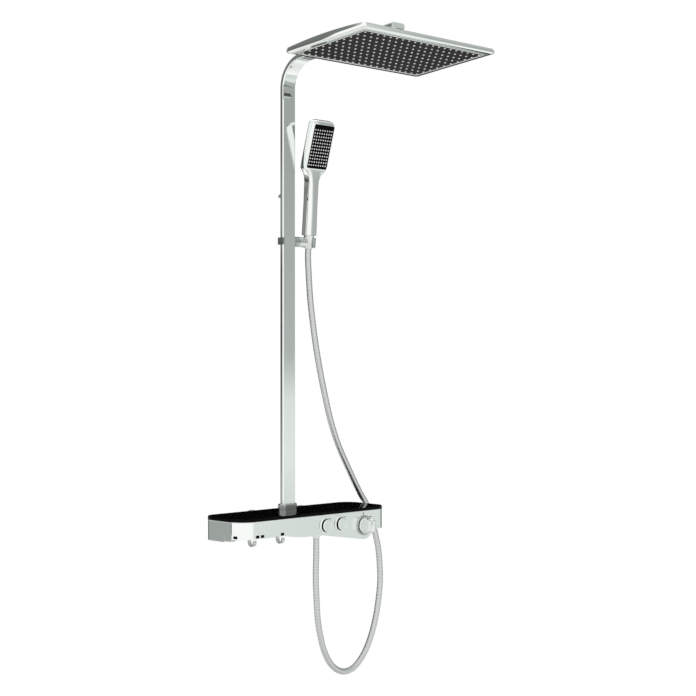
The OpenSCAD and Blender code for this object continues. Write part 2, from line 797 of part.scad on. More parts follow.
// The flat tube seen along its length, drawn in by inset, with its thickness along Y
module tube_section(inset) {
    w = tube_w - 2 * inset;
    t = tube_t - 2 * inset;
    f = tube_edge - inset;
    b = tube_back_edge - inset;
    translate([-w / 2, f - t / 2]) square([w, t - f - b]);
    translate([f - w / 2, -t / 2]) square([w - 2 * f, t / 2]);
    translate([b - w / 2, 0]) square([w - 2 * b, t / 2]);
    for (x = [-1, 1]) {
        translate([x * (w / 2 - f), f - t / 2]) circle(f);
        translate([x * (w / 2 - b), t / 2 - b]) circle(b);
    }
}

module tube_wall_section() {
    difference() {
        tube_section(0);
        tube_section(tube_wall);
    }
}

// Places a child in the frame of the arm: its origin is the end of the bend and +Z is along the arm
module on_arm() {
    translate([0, bend_y, bend_z]) rotate([arm_turn, 0, 0]) translate([0, bend_r, 0]) children();
}

module riser_tube() color(chrome) difference() {
    union() {
        translate([0, tube_y, tube_foot]) linear_extrude(bend_z - tube_foot) tube_wall_section();
        translate([0, bend_y, bend_z]) rotate([90, 0, 90]) rotate_extrude(angle = arm_turn, $fn = 96)
            translate([bend_r, 0]) rotate(-90) tube_wall_section();
        on_arm() linear_extrude(arm_l - cap_t) tube_wall_section();
        // Polished weld where the arm leaves the bend
        on_arm() translate([0, 0, -weld_l / 2]) linear_extrude(weld_l) difference() {
            tube_section(-weld_rise);
            tube_section(tube_wall + weld_rise);
        }
    }
    // Water way from the arm into the ball stud
    on_head() translate([0, 0, boss_top - 2]) cylinder(r = water_way_r, h = 5);
}

module arm_end_cap() color(chrome) on_arm() {
    translate([0, 0, arm_l - cap_t]) linear_extrude(cap_t) tube_section(0);
    translate([0, 0, arm_l - cap_t - 5]) linear_extrude(5) tube_section(tube_wall + fit);
}

module riser_socket() color(brass) translate([0, tube_y, socket_z]) difference() {
    linear_extrude(socket_top - socket_z) stadium(socket_w, socket_d);
    translate([0, 0, 1]) linear_extrude(20) square([tube_w + 3, tube_t + 3], center = true);
    translate([0, 0, -1]) cylinder(r = 4, h = 5);
}

module riser_seal() color(rubber) translate([0, tube_y, socket_z + 1]) linear_extrude(socket_top - socket_z - 2)
    difference() {
        square([tube_w + 2.9, tube_t + 2.9], center = true);
        tube_section(0);
    }

module riser_collar() color(chrome) translate([0, tube_y, shelf_top]) difference() {
    union() {
        linear_extrude(collar_h - 2) stadium(collar_w, collar_d);
        translate([0, 0, collar_h - 2]) linear_extrude(1) stadium(collar_w - 1, collar_d - 1);
        translate([0, 0, collar_h - 1]) linear_extrude(1) stadium(collar_w - 3, collar_d - 3);
    }
    translate([0, 0, -1]) linear_extrude(collar_h + 2) tube_section(-fit);
}

// A wedge behind the riser, with the threaded hole that a wall stud screws into
module riser_lug() color(chrome) difference() {
    translate([-lug_w / 2, 0, 0]) rotate([90, 0, 90]) linear_extrude(lug_w) polygon([
        [tube_back, lug_z],
        [tube_back + lug_d, lug_z],
        [tube_back + lug_d, lug_z + lug_nose],
        [tube_back, lug_z + lug_h]]);
    along_y(0, lug_z + lug_nose / 2, lug_bore, tube_back + lug_d + 1, tube_back + lug_d - lug_bore_l);
}

// Places a child in the tilted frame of the overhead shower
module on_head() {
    translate([0, head_y, head_z]) rotate([-arm_rise, 0, 0]) children();
}

module arm_boss() color(chrome) on_head() difference() {
    union() {
        translate([0, 0, boss_bottom + 1]) cylinder(r = arm_boss_r, h = boss_top - boss_bottom - 1);
        translate([0, 0, boss_bottom]) cylinder(r = arm_boss_r - 1, h = 1);
    }
    translate([0, 0, boss_bottom - 1]) cylinder(r = ball_stem_r + fit, h = 30);
}

module ball_stud() color(chrome) on_head() difference() {
    union() {
        translate([0, 0, ball_h]) sphere(ball_r);
        translate([0, 0, ball_h]) cylinder(r = ball_neck_r, h = boss_bottom - ball_h);
        translate([0, 0, boss_bottom - 1.5]) cylinder(r = ball_stem_r, h = ball_stem_top - boss_bottom + 1.5);
    }
    translate([0, 0, ball_h - 20]) cylinder(r = spray_port_r, h = 60);
}

module swivel_nut() color(chrome) on_head() difference() {
    union() {
        translate([0, 0, swivel_bottom]) cylinder(r = swivel_r, h = swivel_top - swivel_bottom - 1.5);
        translate([0, 0, swivel_bottom]) cylinder(r = swivel_r - 1.5, h = swivel_top - swivel_bottom);
        // Grip flats
        for (a = [0:30:330]) rotate(a) translate([swivel_r - 0.6, 0, swivel_bottom + 2])
            cylinder(r = 1.6, h = swivel_top - swivel_bottom - 6);
    }
    translate([0, 0, swivel_bottom - 1]) cylinder(r = collar_r + fit, h = collar_top + 0.3 - swivel_bottom + 1);
    translate([0, 0, ball_h]) sphere(ball_r + ball_gap);
    translate([0, 0, ball_h]) cylinder(r = ball_neck_r + 2.4, h = 20);
}

module swivel_seat() color(plastic_grey) on_head() difference() {
    translate([0, 0, cover_top]) cylinder(r = seat_r, h = collar_top - cover_top - 0.3);
    translate([0, 0, ball_h]) sphere(ball_r + ball_gap);
    cylinder(r = spray_port_r, h = 40);
}

// The space below the arched top of the cover, with upright sides drawn in by inset
module arch_form(inset, skin) {
    w = head_w - 2 * inset;
    intersection() {
        translate([0, 0, rim_h - skin]) linear_extrude(cover_t + crown + 1)
            rounded_rect(w, head_d - 2 * inset, head_r);
        along_x(0, cover_top - arch_r, arch_r - skin, -w / 2 - 1, w / 2 + 1, $fn = 720);
    }
}

module head_cover() color(chrome) on_head() difference() {
    union() {
        arch_form(cover_in, 0);
        translate([0, 0, cover_top - 1]) cylinder(r = collar_r, h = collar_top - cover_top + 1);
    }
    arch_form(cover_border, cover_skin);
    translate([0, 0, cover_top]) cylinder(r = collar_bore, h = 30);
    translate([0, 0, rim_h]) cylinder(r = spray_port_r, h = 20);
}

module head_frame() color(chrome) on_head() difference() {
    union() {
        linear_extrude(1) rounded_rect(head_w - 2, head_d - 2, head_r);
        translate([0, 0, 1]) linear_extrude(rim_h - 1) rounded_rect(head_w, head_d, head_r);
    }
    translate([0, 0, face_z]) linear_extrude(rim_h) rounded_rect(face_w + 0.4, face_d + 0.4, 3);
    translate([0, 0, -1]) linear_extrude(rim_h) rounded_rect(face_w - 3, face_d - 3, 3);
}

// Visits each nozzle place of a grid
module nozzle_grid(nx, ny, px, py) {
    for (i = [0:nx - 1], j = [0:ny - 1])
        translate([(i - (nx - 1) / 2) * px, (j - (ny - 1) / 2) * py]) children();
}

module head_face() color(plastic_black) on_head() translate([0, 0, face_z]) linear_extrude(face_t)
    difference() {
        rounded_rect(face_w, face_d, 3);
        nozzle_grid(nozzle_nx, nozzle_ny, nozzle_px, nozzle_py) circle(nozzle_r + 0.1, $fn = 16);
    }

module head_nozzles() color(silicone_white) on_head() {
    translate([0, 0, face_z + face_t]) linear_extrude(mat_t) rounded_rect(face_w - 2, face_d - 2, 3);
    nozzle_grid(nozzle_nx, nozzle_ny, nozzle_px, nozzle_py)
        translate([0, 0, nozzle_tip]) cylinder(r = nozzle_r, h = face_z + face_t - nozzle_tip + 0.2, $fn = 16);
}

module slider_body() color(chrome) difference() {
    union() {
        translate([0, hold_y, hold_z - slider_h / 2]) linear_extrude(slider_h)
            translate([-tube_w / 2 - gap - slider_wall, -tube_t / 2 - gap - slider_wall])
                square([tube_w + 2 * (gap + slider_wall), tube_t + 2 * gap + slider_wall + slider_back_wall]);
        along_x(hold_y, hold_z, hold_d / 2, tube_w / 2 + gap, slider_boss_end);
        along_x(hold_y, hold_z, pin_r, slider_boss_end - 1, pin_end);
    }
    // The channel that the riser runs in, open at the front
    translate([0, hold_y, hold_z - 20]) linear_extrude(40)
        square([tube_w + 2 * gap, tube_t + 2 * gap], center = true);
    translate([-tube_w / 2 - gap + slider_lip, hold_y - 20, hold_z - 20])
        cube([tube_w + 2 * gap - 2 * slider_lip, 20, 40]);
    along_x(hold_y, hold_z, pad_r + fit, tube_w / 2 - 1, slider_boss_end - 2);
}

module slider_pad() color(plastic_black) along_x(hold_y, hold_z, pad_r, tube_w / 2 + 0.02, slider_boss_end - 2.5);

// Places a child in the leaning frame of the hand shower
module on_lean() {
    translate([hold_x, hold_y, hold_z]) rotate([hand_lean, 0, 0]) children();
}

// The cone below the hand shower, grown by grow
module cone_form(grow) {
    translate([0, 0, cone_bottom]) cylinder(
        r1 = cone_bottom_r + grow, r2 = cone_top_r + grow, h = cone_top - cone_bottom);
}

module holder_ring() color(chrome) difference() {
    union() {
        along_x(hold_y, hold_z, hold_d / 2, holder_start, hold_x - 6);
        on_lean() {
            translate([0, 0, 1 - hold_d / 2]) cylinder(r = ring_d / 2, h = hold_d - 1);
            translate([0, 0, -hold_d / 2]) cylinder(r = ring_d / 2 - 1, h = 1.1);
        }
    }
    along_x(hold_y, hold_z, pin_r + fit, holder_start - 1, pin_end + 0.5);
    on_lean() {
        cone_form(gap);
        rotate(-slot_turn) translate([-ring_slot / 2, -30, -20]) cube([ring_slot, 30, 40]);
        translate([0, 0, -30]) cylinder(r = ring_slot / 2, h = 60);
    }
}

module hose_cone() color(chrome) on_lean() difference() {
    union() {
        cone_form(0);
        translate([0, 0, cone_top - 2]) cylinder(r = cone_top_r, h = 2.6);
    }
    translate([0, 0, inlet_bottom - 2]) cylinder(r = inlet_r + fit, h = 30);
    translate([0, 0, cone_bottom - 1]) cylinder(r = hose_bore / 2, h = 30);
}

module handset_inlet() color(brass) on_lean() difference() {
    union() {
        translate([0, 0, inlet_bottom]) cylinder(r = inlet_r, h = handle_foot - foot_play - inlet_bottom);
        translate([0, 0, handle_foot - 1]) cylinder(r = inlet_r - inlet_step, h = inlet_top - handle_foot);
    }
    translate([0, 0, inlet_bottom - 1]) cylinder(r = hand_bore, h = 60);
}

// One ring of points of the hand shower: a square with round corners, 28 points
function hand_ring(s) = [
    for (k = [0:27])
        let (a = k * 360 / 28, c = cos(a), d = sin(a),
            n = 0.42,
            x = s[3] / 2 * sign(c) * pow(abs(c), n),
            y = s[4] / 2 * sign(d) * pow(abs(d), n))
        [hold_x + x,
            hold_y - s[0] + y * cos(s[2]),
            hold_z + s[1] + y * sin(s[2])]];

// A closed skin over rings of n points each
module skin(rings, n) {
    m = len(rings);
    polyhedron(
        points = [for (r = rings) each r],
        faces = [
            [for (k = [0:n - 1]) k],
            for (i = [0:m - 2], k = [0:n - 1]) each [
                [i * n + k, (i + 1) * n + k, (i + 1) * n + (k + 1) % n],
                [i * n + k, (i + 1) * n + (k + 1) % n, i * n + (k + 1) % n]],
            [for (k = [n - 1:-1:0]) (m - 1) * n + k]]);
}

// Places a child on the hand shower's spray face: its origin is the middle of the face's lower edge,
// +Y runs up the face and +Z stands out of it
module on_plate() {
    translate([hold_x, plate_y, plate_z]) rotate([90 + head_lean, 0, 0]) children();
}

module handset_body() color(chrome) difference() {
    skin([for (s = hand_sections) hand_ring(s)], 28);
    on_lean() translate([0, 0, handle_foot - 5])
        cylinder(r = inlet_r - inlet_step + fit, h = inlet_top - handle_foot + 5);
    on_plate() translate([0, hand_face_l / 2, -hand_face_t - hand_mat_t - 0.2]) linear_extrude(20)
        rounded_rect(hand_face_w + 0.4, hand_face_l + 0.4, 4);
}

module handset_face() color(plastic_black) on_plate() translate([0, hand_face_l / 2, -hand_face_t])
    linear_extrude(hand_face_t) difference() {
        rounded_rect(hand_face_w, hand_face_l, 4);
        translate([0, -2.5]) nozzle_grid(hand_nx, hand_ny, hand_pitch, hand_pitch)
            circle(hand_nozzle_r + 0.1, $fn = 16);
    }

module handset_nozzles() color(silicone_white) on_plate() translate([0, hand_face_l / 2, 0]) {
    translate([0, 0, -hand_face_t - hand_mat_t]) linear_extrude(hand_mat_t)
        rounded_rect(hand_face_w - 1, hand_face_l - 1, 4);
    translate([0, -2.5]) nozzle_grid(hand_nx, hand_ny, hand_pitch, hand_pitch)
        translate([0, 0, -hand_face_t - 0.2]) cylinder(r = hand_nozzle_r, h = hand_face_t + 0.8, $fn = 16);
}

module cone_washer() color(rubber) on_lean() difference() {
    translate([0, 0, inlet_bottom - 2]) cylinder(r = inlet_r - 0.5, h = 2);
    translate([0, 0, inlet_bottom - 3]) cylinder(r = hand_bore, h = 5);
}

module nut_washer() color(rubber) translate([outlet_x, outlet_y, outlet_z - 2]) difference() {
    cylinder(r = outlet_r - 0.4, h = 2);
    translate([0, 0, -1]) cylinder(r = 5, h = 4);
}

module hose_nut() color(chrome) translate([outlet_x, outlet_y, 0]) difference() {
    union() {
        translate([0, 0, hose_foot[2] + hose_nut_cone])
            cylinder(r = hose_nut_r, h = hose_nut_top - hose_foot[2] - hose_nut_cone);
        translate([0, 0, hose_foot[2]]) cylinder(r1 = hose_d / 2 + 1, r2 = hose_nut_r, h = hose_nut_cone + 0.1);
        for (a = [0:20:340]) rotate(a) translate([hose_nut_r - 0.2, 0, hose_foot[2] + hose_nut_cone + 2])
            cylinder(r = knurl_r, h = hose_nut_top - hose_foot[2] - hose_nut_cone - 4);
    }
    translate([0, 0, outlet_z - 2]) cylinder(r = outlet_r + fit, h = 20);
    translate([0, 0, hose_foot[2] - 1]) cylinder(r = hose_bore / 2, h = 30);
}

// A point on a smooth curve through the route, part way t from point i to point i + 1
function route_point(i) = hose_route[max(0, min(len(hose_route) - 1, i))];
function curve_at(i, t) =
    let (a = route_point(i - 1), b = route_point(i), c = route_point(i + 1), d = route_point(i + 2))
    0.5 * (2 * b + (c - a) * t + (2 * a - 5 * b + 4 * c - d) * t * t
        + (3 * b - 3 * c + d - a) * t * t * t);

// Stations along the hose: each span is cut into as many half ribs as its length asks for
spans = len(hose_route) - 1;
function span_steps(i) = 2 * max(1, round(norm(route_point(i + 1) - route_point(i)) / rib_pitch));
stations = [
    for (i = [0:spans - 1]) let (n = span_steps(i)) for (k = [0:n - 1]) curve_at(i, k / n),
    hose_top];
station_n = len(stations);

function unit(v) = v / norm(v);
function sum_of(v, i) = i == len(v) ? 0 : v[i] + sum_of(v, i + 1);
function heading(i) = i == 0 ? unit(stations[1] - stations[0])
    : i == station_n - 1 ? unit(stations[i] - stations[i - 1])
    : unit(stations[i + 1] - stations[i - 1]);

// A ring of points square to the hose at station i
function hose_ring(i, r) =
    let (d = heading(i), side = unit(cross(d, [0, 1, 0])), up = cross(side, d))
    [for (k = [0:hose_sides - 1]) let (a = (k + 0.5) * 360 / hose_sides)
        stations[i] + r / cos(180 / hose_sides) * (cos(a) * side + sin(a) * up)];

// The bore follows every sixth station, and the ribs follow all of them
bore_every = 6;
bore_stations = [for (i = [0:station_n - 1]) if (i % bore_every == 0 || i == station_n - 1) i];

// Length of the hose, and the least gap between two stretches of it that are well apart along it
hose_length = sum_of([for (i = [0:station_n - 2]) norm(stations[i + 1] - stations[i])], 0);
hose_self_gap = min([
    for (i = bore_stations, j = bore_stations) if (j - i > 24) norm(stations[i] - stations[j])]) - hose_d;
echo(hose_length = hose_length, hose_self_gap = hose_self_gap);

module hose() color(steel) {
    n = hose_sides;
    outer = [for (i = [0:station_n - 1])
        each hose_ring(i, i % 2 == 0 ? hose_d / 2 / 1.02 : hose_d / 2 / 1.02 - rib_depth)];
    inner = [for (i = bore_stations) each hose_ring(i, hose_bore / 2)];
    base = len(outer);
    m = len(bore_stations);
    last_o = (station_n - 1) * n;
    last_i = base + (m - 1) * n;
    polyhedron(
        points = concat(outer, inner),
        faces = [
            for (i = [0:station_n - 2], k = [0:n - 1]) let (k2 = (k + 1) % n) each [
                [i * n + k, (i + 1) * n + k2, (i + 1) * n + k],
                [i * n + k, i * n + k2, (i + 1) * n + k2]],
            for (i = [0:m - 2], k = [0:n - 1]) let (k2 = (k + 1) % n) each [
                [base + i * n + k, base + (i + 1) * n + k, base + (i + 1) * n + k2],
                [base + i * n + k, base + (i + 1) * n + k2, base + i * n + k2]],
            for (k = [0:n - 1]) let (k2 = (k + 1) % n) each [
                [k, base + k, base + k2],
                [k, base + k2, k2],
                [last_o + k, last_i + k2, last_i + k],
                [last_o + k, last_o + k2, last_i + k2]]]);
}

shelf_housing();
glass_gasket();
glass_shelf();
chassis();
valve_body();
wall_roses();
inlet_unions();
union_nuts();
inlet_washers();
check_valves();
thermostat_cartridge();
stop_ring();
knob_ring();
thermostat_knob();
safety_button();
push_cartridges();
button_rings();
push_button_head();
push_button_hand();
hook_rail();
rail_end_cap();
rail_screws();
hook_left();
hook_right();
riser_socket();
riser_seal();
riser_collar();
riser_tube();
riser_lug();
arm_end_cap();
arm_boss();
ball_stud();
swivel_nut();
swivel_seat();
head_cover();
head_frame();
head_face();
head_nozzles();
slider_body();
slider_pad();
holder_ring();
handset_body();
handset_face();
handset_nozzles();
handset_inlet();
hose_cone();
cone_washer();
hose_nut();
nut_washer();
hose();
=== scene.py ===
"""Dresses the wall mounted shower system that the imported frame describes.

Each sub-assembly is a class that holds its sizes, in metres, and builds its own pieces. The frame is
the CAD model's: the wall is the plane Y = 0 with the object on its -Y side, Z = 0 is the height of the
supply inlets, and X = 0 is midway between them.
"""

from __future__ import annotations

import logging
import math
from collections.abc import Callable, Iterable, Sequence
from dataclasses import dataclass
from enum import Enum

import bmesh
import bpy
from mathutils import Matrix, Vector


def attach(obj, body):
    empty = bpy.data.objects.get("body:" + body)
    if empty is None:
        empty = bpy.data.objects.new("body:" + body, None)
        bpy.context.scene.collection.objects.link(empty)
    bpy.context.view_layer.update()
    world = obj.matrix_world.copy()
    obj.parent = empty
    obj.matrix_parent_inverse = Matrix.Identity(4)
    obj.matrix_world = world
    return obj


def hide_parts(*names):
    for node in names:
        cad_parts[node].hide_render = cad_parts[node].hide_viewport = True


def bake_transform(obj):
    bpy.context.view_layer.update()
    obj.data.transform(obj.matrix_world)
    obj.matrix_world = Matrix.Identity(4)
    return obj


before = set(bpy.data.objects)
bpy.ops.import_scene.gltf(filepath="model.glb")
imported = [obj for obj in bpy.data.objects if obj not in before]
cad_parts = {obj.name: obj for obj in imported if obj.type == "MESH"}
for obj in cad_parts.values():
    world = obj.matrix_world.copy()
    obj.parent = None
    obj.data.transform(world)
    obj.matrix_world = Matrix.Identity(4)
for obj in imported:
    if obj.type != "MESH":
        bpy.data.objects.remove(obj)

log = logging.getLogger("shower")

MM = 0.001

Point = tuple[float, float, float]
Pair = tuple[float, float]
Colour = tuple[float, float, float]
Profile = Sequence[Pair]


class Body(str, Enum):
    """The moving bodies of the frame."""

    FIXED = "fixed"
    KNOB = "knob"
    SAFETY = "safety"
    PUSH_HEAD = "push_head"
    PUSH_HAND = "push_hand"
    LEFT_HOOK = "left_hook"
    RIGHT_HOOK = "right_hook"
    STUD = "stud"
    HEAD = "head"
    SLIDER = "slider"
    HOLDER = "holder"
    HANDSET = "handset"


class Nodes:
    """Adds nodes to a tree, each with its settings first and its sockets after."""

    def __init__(self, tree: bpy.types.NodeTree) -> None:
        """Keeps a shader, world or geometry tree."""
        self.tree = tree

    def add(self, kind: str, settings: dict | None = None, sockets: dict | None = None) -> Made:
        """Adds one node.

        Args:
            kind: The node's type name.
            settings: Properties of the node, or "stops" for a colour ramp's stops.
            sockets: Values or links of its inputs, by name or number.

        Returns:
            The node, whose outputs are read by name or number.
        """
        node = self.tree.nodes.new(kind)
        for name, value in (settings or {}).items():
            if name == "stops":
                self.set_stops(node.color_ramp, value)
            else:
                setattr(node, name, value)
        for name, value in (sockets or {}).items():
            self.join(value, node.inputs[name])
        return Made(self, node)

    def join(self, value: object, socket: bpy.types.NodeSocket) -> None:
        """Links a signal to a socket, or sets the socket's own value.

        Args:
            value: What goes in.
            socket: The input that takes it.
        """
        if isinstance(value, Signal):
            self.tree.links.new(value.socket, socket)
        else:
            socket.default_value = value

    @staticmethod
    def set_stops(ramp: bpy.types.ColorRamp, stops: Sequence[tuple[float, Colour]]) -> None:
        """Replaces a colour ramp's stops.

        Args:
            ramp: The ramp.
            stops: Position and colour of each stop, from low to high.
        """
        while len(ramp.elements) < len(stops):
            ramp.elements.new(1.0)
        for element, (place, colour) in zip(ramp.elements, stops):
            element.position = place
            element.color = (*colour, 1.0)


class Made:
    """A node that was added, with its outputs as signals."""

    def __init__(self, nodes: Nodes, node: bpy.types.Node) -> None:
        """Keeps the node and its tree's helper."""
        self.nodes = nodes
        self.node = node

    def __getitem__(self, output: int | str) -> Signal:
        """The signal of one output, by name or number."""
        return Signal(self.nodes, self.node.outputs[output])


def math_node(operation: str, swapped: bool = False) -> Callable[[Signal, Value], Signal]:
    """A method of Signal that adds a Math node.

    Args:
        operation: The node's operation.
        swapped: Whether the other operand comes first, as in 1 - mask.

    Returns:
        The method.
    """

    def act(self: Signal, other: Value) -> Signal:
        """Works on this signal and another signal or number."""
        first, second = (other, self) if swapped else (self, other)
        return self.nodes.add("ShaderNodeMath", {"operation": operation}, {0: first, 1: second})[0]

    return act


class Signal:
    """A socket's value, which Python's operators work on with Math nodes."""

    def __init__(self, nodes: Nodes, socket: bpy.types.NodeSocket) -> None:
        """Keeps an output socket and its tree's helper."""
        self.nodes = nodes
        self.socket = socket

    __add__ = __radd__ = math_node("ADD")
    __sub__ = math_node("SUBTRACT")
    __rsub__ = math_node("SUBTRACT", swapped=True)
    __mul__ = __rmul__ = math_node("MULTIPLY")
    __truediv__ = math_node("DIVIDE")
    __rtruediv__ = math_node("DIVIDE", swapped=True)
    __mod__ = math_node("FLOORED_MODULO")
    __rmod__ = math_node("FLOORED_MODULO", swapped=True)
    __gt__ = math_node("GREATER_THAN")
    __lt__ = math_node("LESS_THAN")
    at_least = math_node("MAXIMUM")
    at_most = math_node("MINIMUM")


Value = float | Signal


class Surface(Nodes):
    """The nodes of one material, around a Principled shader."""

    def __init__(self, name: str) -> None:
        """Makes the material.

        Args:
            name: Its name.
        """
        self.material = bpy.data.materials.new(name)
        self.material.use_nodes = True
        super().__init__(self.material.node_tree)
        self.shader = self.tree.nodes["Principled BSDF"]
        self.place = self.add("ShaderNodeTexCoord")["Object"]

    def noise(self, scale: float, detail: float, stretch: Point | None = None) -> Signal:
        """Noise in the piece's own space.

        Args:
            scale: Cells per metre.
            detail: Octaves.
            stretch: Factor on the scale along each axis.

        Returns:
            A value from 0 to 1.
        """
        place = self.place
        if stretch:
            place = self.add("ShaderNodeMapping", None, {"Vector": place, "Scale": stretch})[0]
        return self.add("ShaderNodeTexNoise", None, {"Vector": place, "Scale": scale, "Detail": detail})[0]

    def split(self) -> tuple[Signal, Signal, Signal]:
        """The X, Y and Z of the piece's own space."""
        parts = self.add("ShaderNodeSeparateXYZ", None, {0: self.place})
        return parts[0], parts[1], parts[2]

    def blend(self, amount: Value, low: Colour | Signal, high: Colour | Signal) -> Signal:
        """A colour between two: the first at an amount of 0, and the second at 1."""
        first, second = [c if isinstance(c, Signal) else (*c, 1.0) for c in (low, high)]
        return self.add("ShaderNodeMix", {"data_type": "RGBA"}, {0: amount, 6: first, 7: second})[2]

    def raise_by(self, height: Signal, depth: float) -> None:
        """Bumps the surface by a height from 0 to 1, where 1 stands for the depth in metres."""
        bump = self.add("ShaderNodeBump", None, {"Height": height, "Distance": depth, "Strength": 1.0})
        self.join(bump[0], self.shader.inputs["Normal"])

    def glow(self, colour: Colour | Signal) -> Signal:
        """A shader that shows a colour as it is, whatever the light."""
        plain = colour if isinstance(colour, Signal) else (*colour, 1.0)
        return self.add("ShaderNodeEmission", None, {"Color": plain, "Strength": 1.0})[0]

    def show(self, shader: Signal) -> None:
        """Sends a shader to the material's output."""
        self.join(shader, self.tree.nodes["Material Output"].inputs[0])

    def set(self, **sockets: object) -> None:
        """Sets the Principled shader's sockets, with the spaces in their names as underscores."""
        for name, value in sockets.items():
            self.join(value, self.shader.inputs[name.replace("_", " ")])


MADE: dict[str, bpy.types.Material] = {}


@dataclass(frozen=True)
class Finish:
    """What a surface is made of, and the record's slot that it belongs to."""

    name: str
    slot: str
    colour: Colour

    def shade(self, share: float) -> Colour:
        """The colour at a share of its brightness."""
        return tuple(share * c for c in self.colour)

    def paint(self, surface: Surface) -> None:
        """Sets the nodes of the new material."""
        raise NotImplementedError

    def material(self) -> bpy.types.Material:
        """The finish's material, made once."""
        if self.name not in MADE:
            surface = Surface(self.name)
            self.paint(surface)
            MADE[self.name] = surface.material
        return MADE[self.name]


@dataclass(frozen=True)
class Chrome(Finish):
    """Polished plating: a mirror with faint haze and the slightest ripple."""

    haze: float = 0.05
    ripple: float = 0.000004

    def paint(self, surface: Surface) -> None:
        """Sets the nodes of polished plating.

        Args:
            surface: The new material.
        """
        cloud = surface.noise(14.0, 3.0)
        grain = surface.noise(900.0, 2.0)
        surface.raise_by(surface.noise(22.0, 1.0) + grain * 0.02, self.ripple)
        surface.set(
            Base_Color=surface.blend(cloud, self.shade(0.97), self.colour),
            Metallic=1.0,
            Roughness=self.haze * (0.6 + 0.9 * cloud),
        )


@dataclass(frozen=True)
class SpiralSteel(Finish):
    """The hose's wound sleeve, rougher in the grooves, with painted shade darkening them."""

    haze: float = 0.16

    def paint(self, surface: Surface) -> None:
        """Sets the nodes of the wound sleeve.

        Args:
            surface: The new material.
        """
        groove = surface.add("ShaderNodeAttribute", {"attribute_name": "groove"})["Fac"]
        stain = surface.noise(160.0, 3.0)
        # Painted shade in the grooves, with a faint stain over the whole sleeve.
        groove_shade_and_stain = (groove * 0.9 + stain * 0.1).at_most(1.0)
        surface.raise_by(surface.noise(1500.0, 2.0), 0.00002)
        surface.set(
            Base_Color=surface.blend(groove_shade_and_stain, self.colour, self.shade(0.6)),
            Metallic=1.0,
            Roughness=self.haze + 0.2 * groove + 0.08 * stain,
        )


@dataclass(frozen=True)
class BlackGlass(Finish):
    """Toughened glass with a black back: a clean gloss over near black."""

    haze: float = 0.02
    gloss: float = 0.06

    def paint(self, surface: Surface) -> None:
        """Sets the nodes of black glass.

        Args:
            surface: The new material.
        """
        film = surface.noise(9.0, 4.0)
        surface.set(
            Base_Color=surface.blend(film, self.colour, self.shade(1.4)),
            Roughness=self.haze + self.haze * film,
            IOR=1.45,
            Specular_IOR_Level=self.gloss,
        )


@dataclass(frozen=True)
class Moulded(Finish):
    """Moulded plastic or rubber with a fine grain."""

    roughness: float = 0.45
    grain: float = 0.00002
    gloss: float = 0.5

    def paint(self, surface: Surface) -> None:
        """Sets the nodes of moulded stock.

        Args:
            surface: The new material.
        """
        cloud = surface.noise(35.0, 3.0)
        surface.raise_by(surface.noise(1400.0, 3.0), self.grain)
        surface.set(
            Base_Color=surface.blend(cloud, self.shade(0.88), self.colour),
            Roughness=self.roughness * (0.85 + 0.3 * cloud),
            Specular_IOR_Level=self.gloss,
        )


@dataclass(frozen=True)
class Machined(Finish):
    """Turned or rolled metal with fine tool lines across one axis."""

    roughness: float = 0.3
    stretch: Point = (1.0, 40.0, 1.0)

    def paint(self, surface: Surface) -> None:
        """Sets the nodes of turned metal.

        Args:
            surface: The new material.
        """
        lines = surface.noise(60.0, 4.0, self.stretch)
        cloud = surface.noise(20.0, 3.0)
        surface.raise_by(lines, 0.00003)
        surface.set(
            Base_Color=surface.blend(cloud * 0.6 + lines * 0.4, self.shade(0.8), self.colour),
            Metallic=1.0,
            Roughness=self.roughness * (0.7 + 0.5 * lines),
        )


CHROME = Chrome("polished_chrome", "chrome", (0.885, 0.915, 0.89))
SHADED = Chrome("shaded_chrome", "chrome", (0.50, 0.525, 0.51), haze=0.08)
# Painted shade: a slightly darker copy of the polished chrome, for the knob, the cone nut and the holder.
PAINTED_SHADE_CHROME = Chrome("fitting_chrome", "chrome", (0.78, 0.805, 0.785), haze=0.06)
# Painted shade: the hooks' chrome with a darker base colour, for the darker reflections they show.
HOOK_PAINTED_SHADE_CHROME = Chrome("polished_steel", "chrome", (0.62, 0.64, 0.63), haze=0.07)
PLATED = Chrome("bright_plated_plastic", "chromed_plastic", (0.89, 0.915, 0.895), haze=0.06, ripple=0.000008)
SLEEVE = SpiralSteel("wound_steel_sleeve", "hose_metal", (0.70, 0.72, 0.71))
GLASS = BlackGlass("gloss_black_glass", "black_glass", (0.0015, 0.0015, 0.0015))
BLACK_PLASTIC = Moulded("satin_black_plastic", "black_plastic", (0.016, 0.016, 0.014), roughness=0.35)
# Black plastic of the hand shower's face, also used as painted shade on the hook rail and round the knob and
# buttons.
BLACK_FACE_AND_PAINTED_SHADE = Moulded("deep_black_plastic", "black_plastic", (0.002, 0.002, 0.002), roughness=0.4, gloss=0.03)
FACE_BLACK = Moulded("soft_black_plastic", "black_plastic", (0.007, 0.007, 0.006), roughness=0.5, gloss=0.12)
WHITE_SILICONE = Moulded("soft_white_silicone", "white_silicone", (0.92, 0.92, 0.90), roughness=0.5)
BLACK_RUBBER = Moulded("matt_black_rubber", "black_rubber", (0.02, 0.02, 0.02), roughness=0.75, grain=0.00004)
GREY_PLASTIC = Moulded("moulded_grey_plastic", "grey_plastic", (0.42, 0.43, 0.43))
BRASS = Machined("machined_brass", "brass", (0.78, 0.62, 0.32))
STEEL = Machined("rolled_steel", "steel", (0.62, 0.63, 0.64), roughness=0.35, stretch=(1.0, 1.0, 30.0))


def mesh_of(bm: bmesh.types.BMesh) -> bpy.types.Mesh:
    """Turns a bmesh into a mesh and frees it.

    Args:
        bm: The bmesh.

    Returns:
        The mesh.
    """
    mesh = bpy.data.meshes.new("form")
    bm.to_mesh(mesh)
    bm.free()
    return mesh


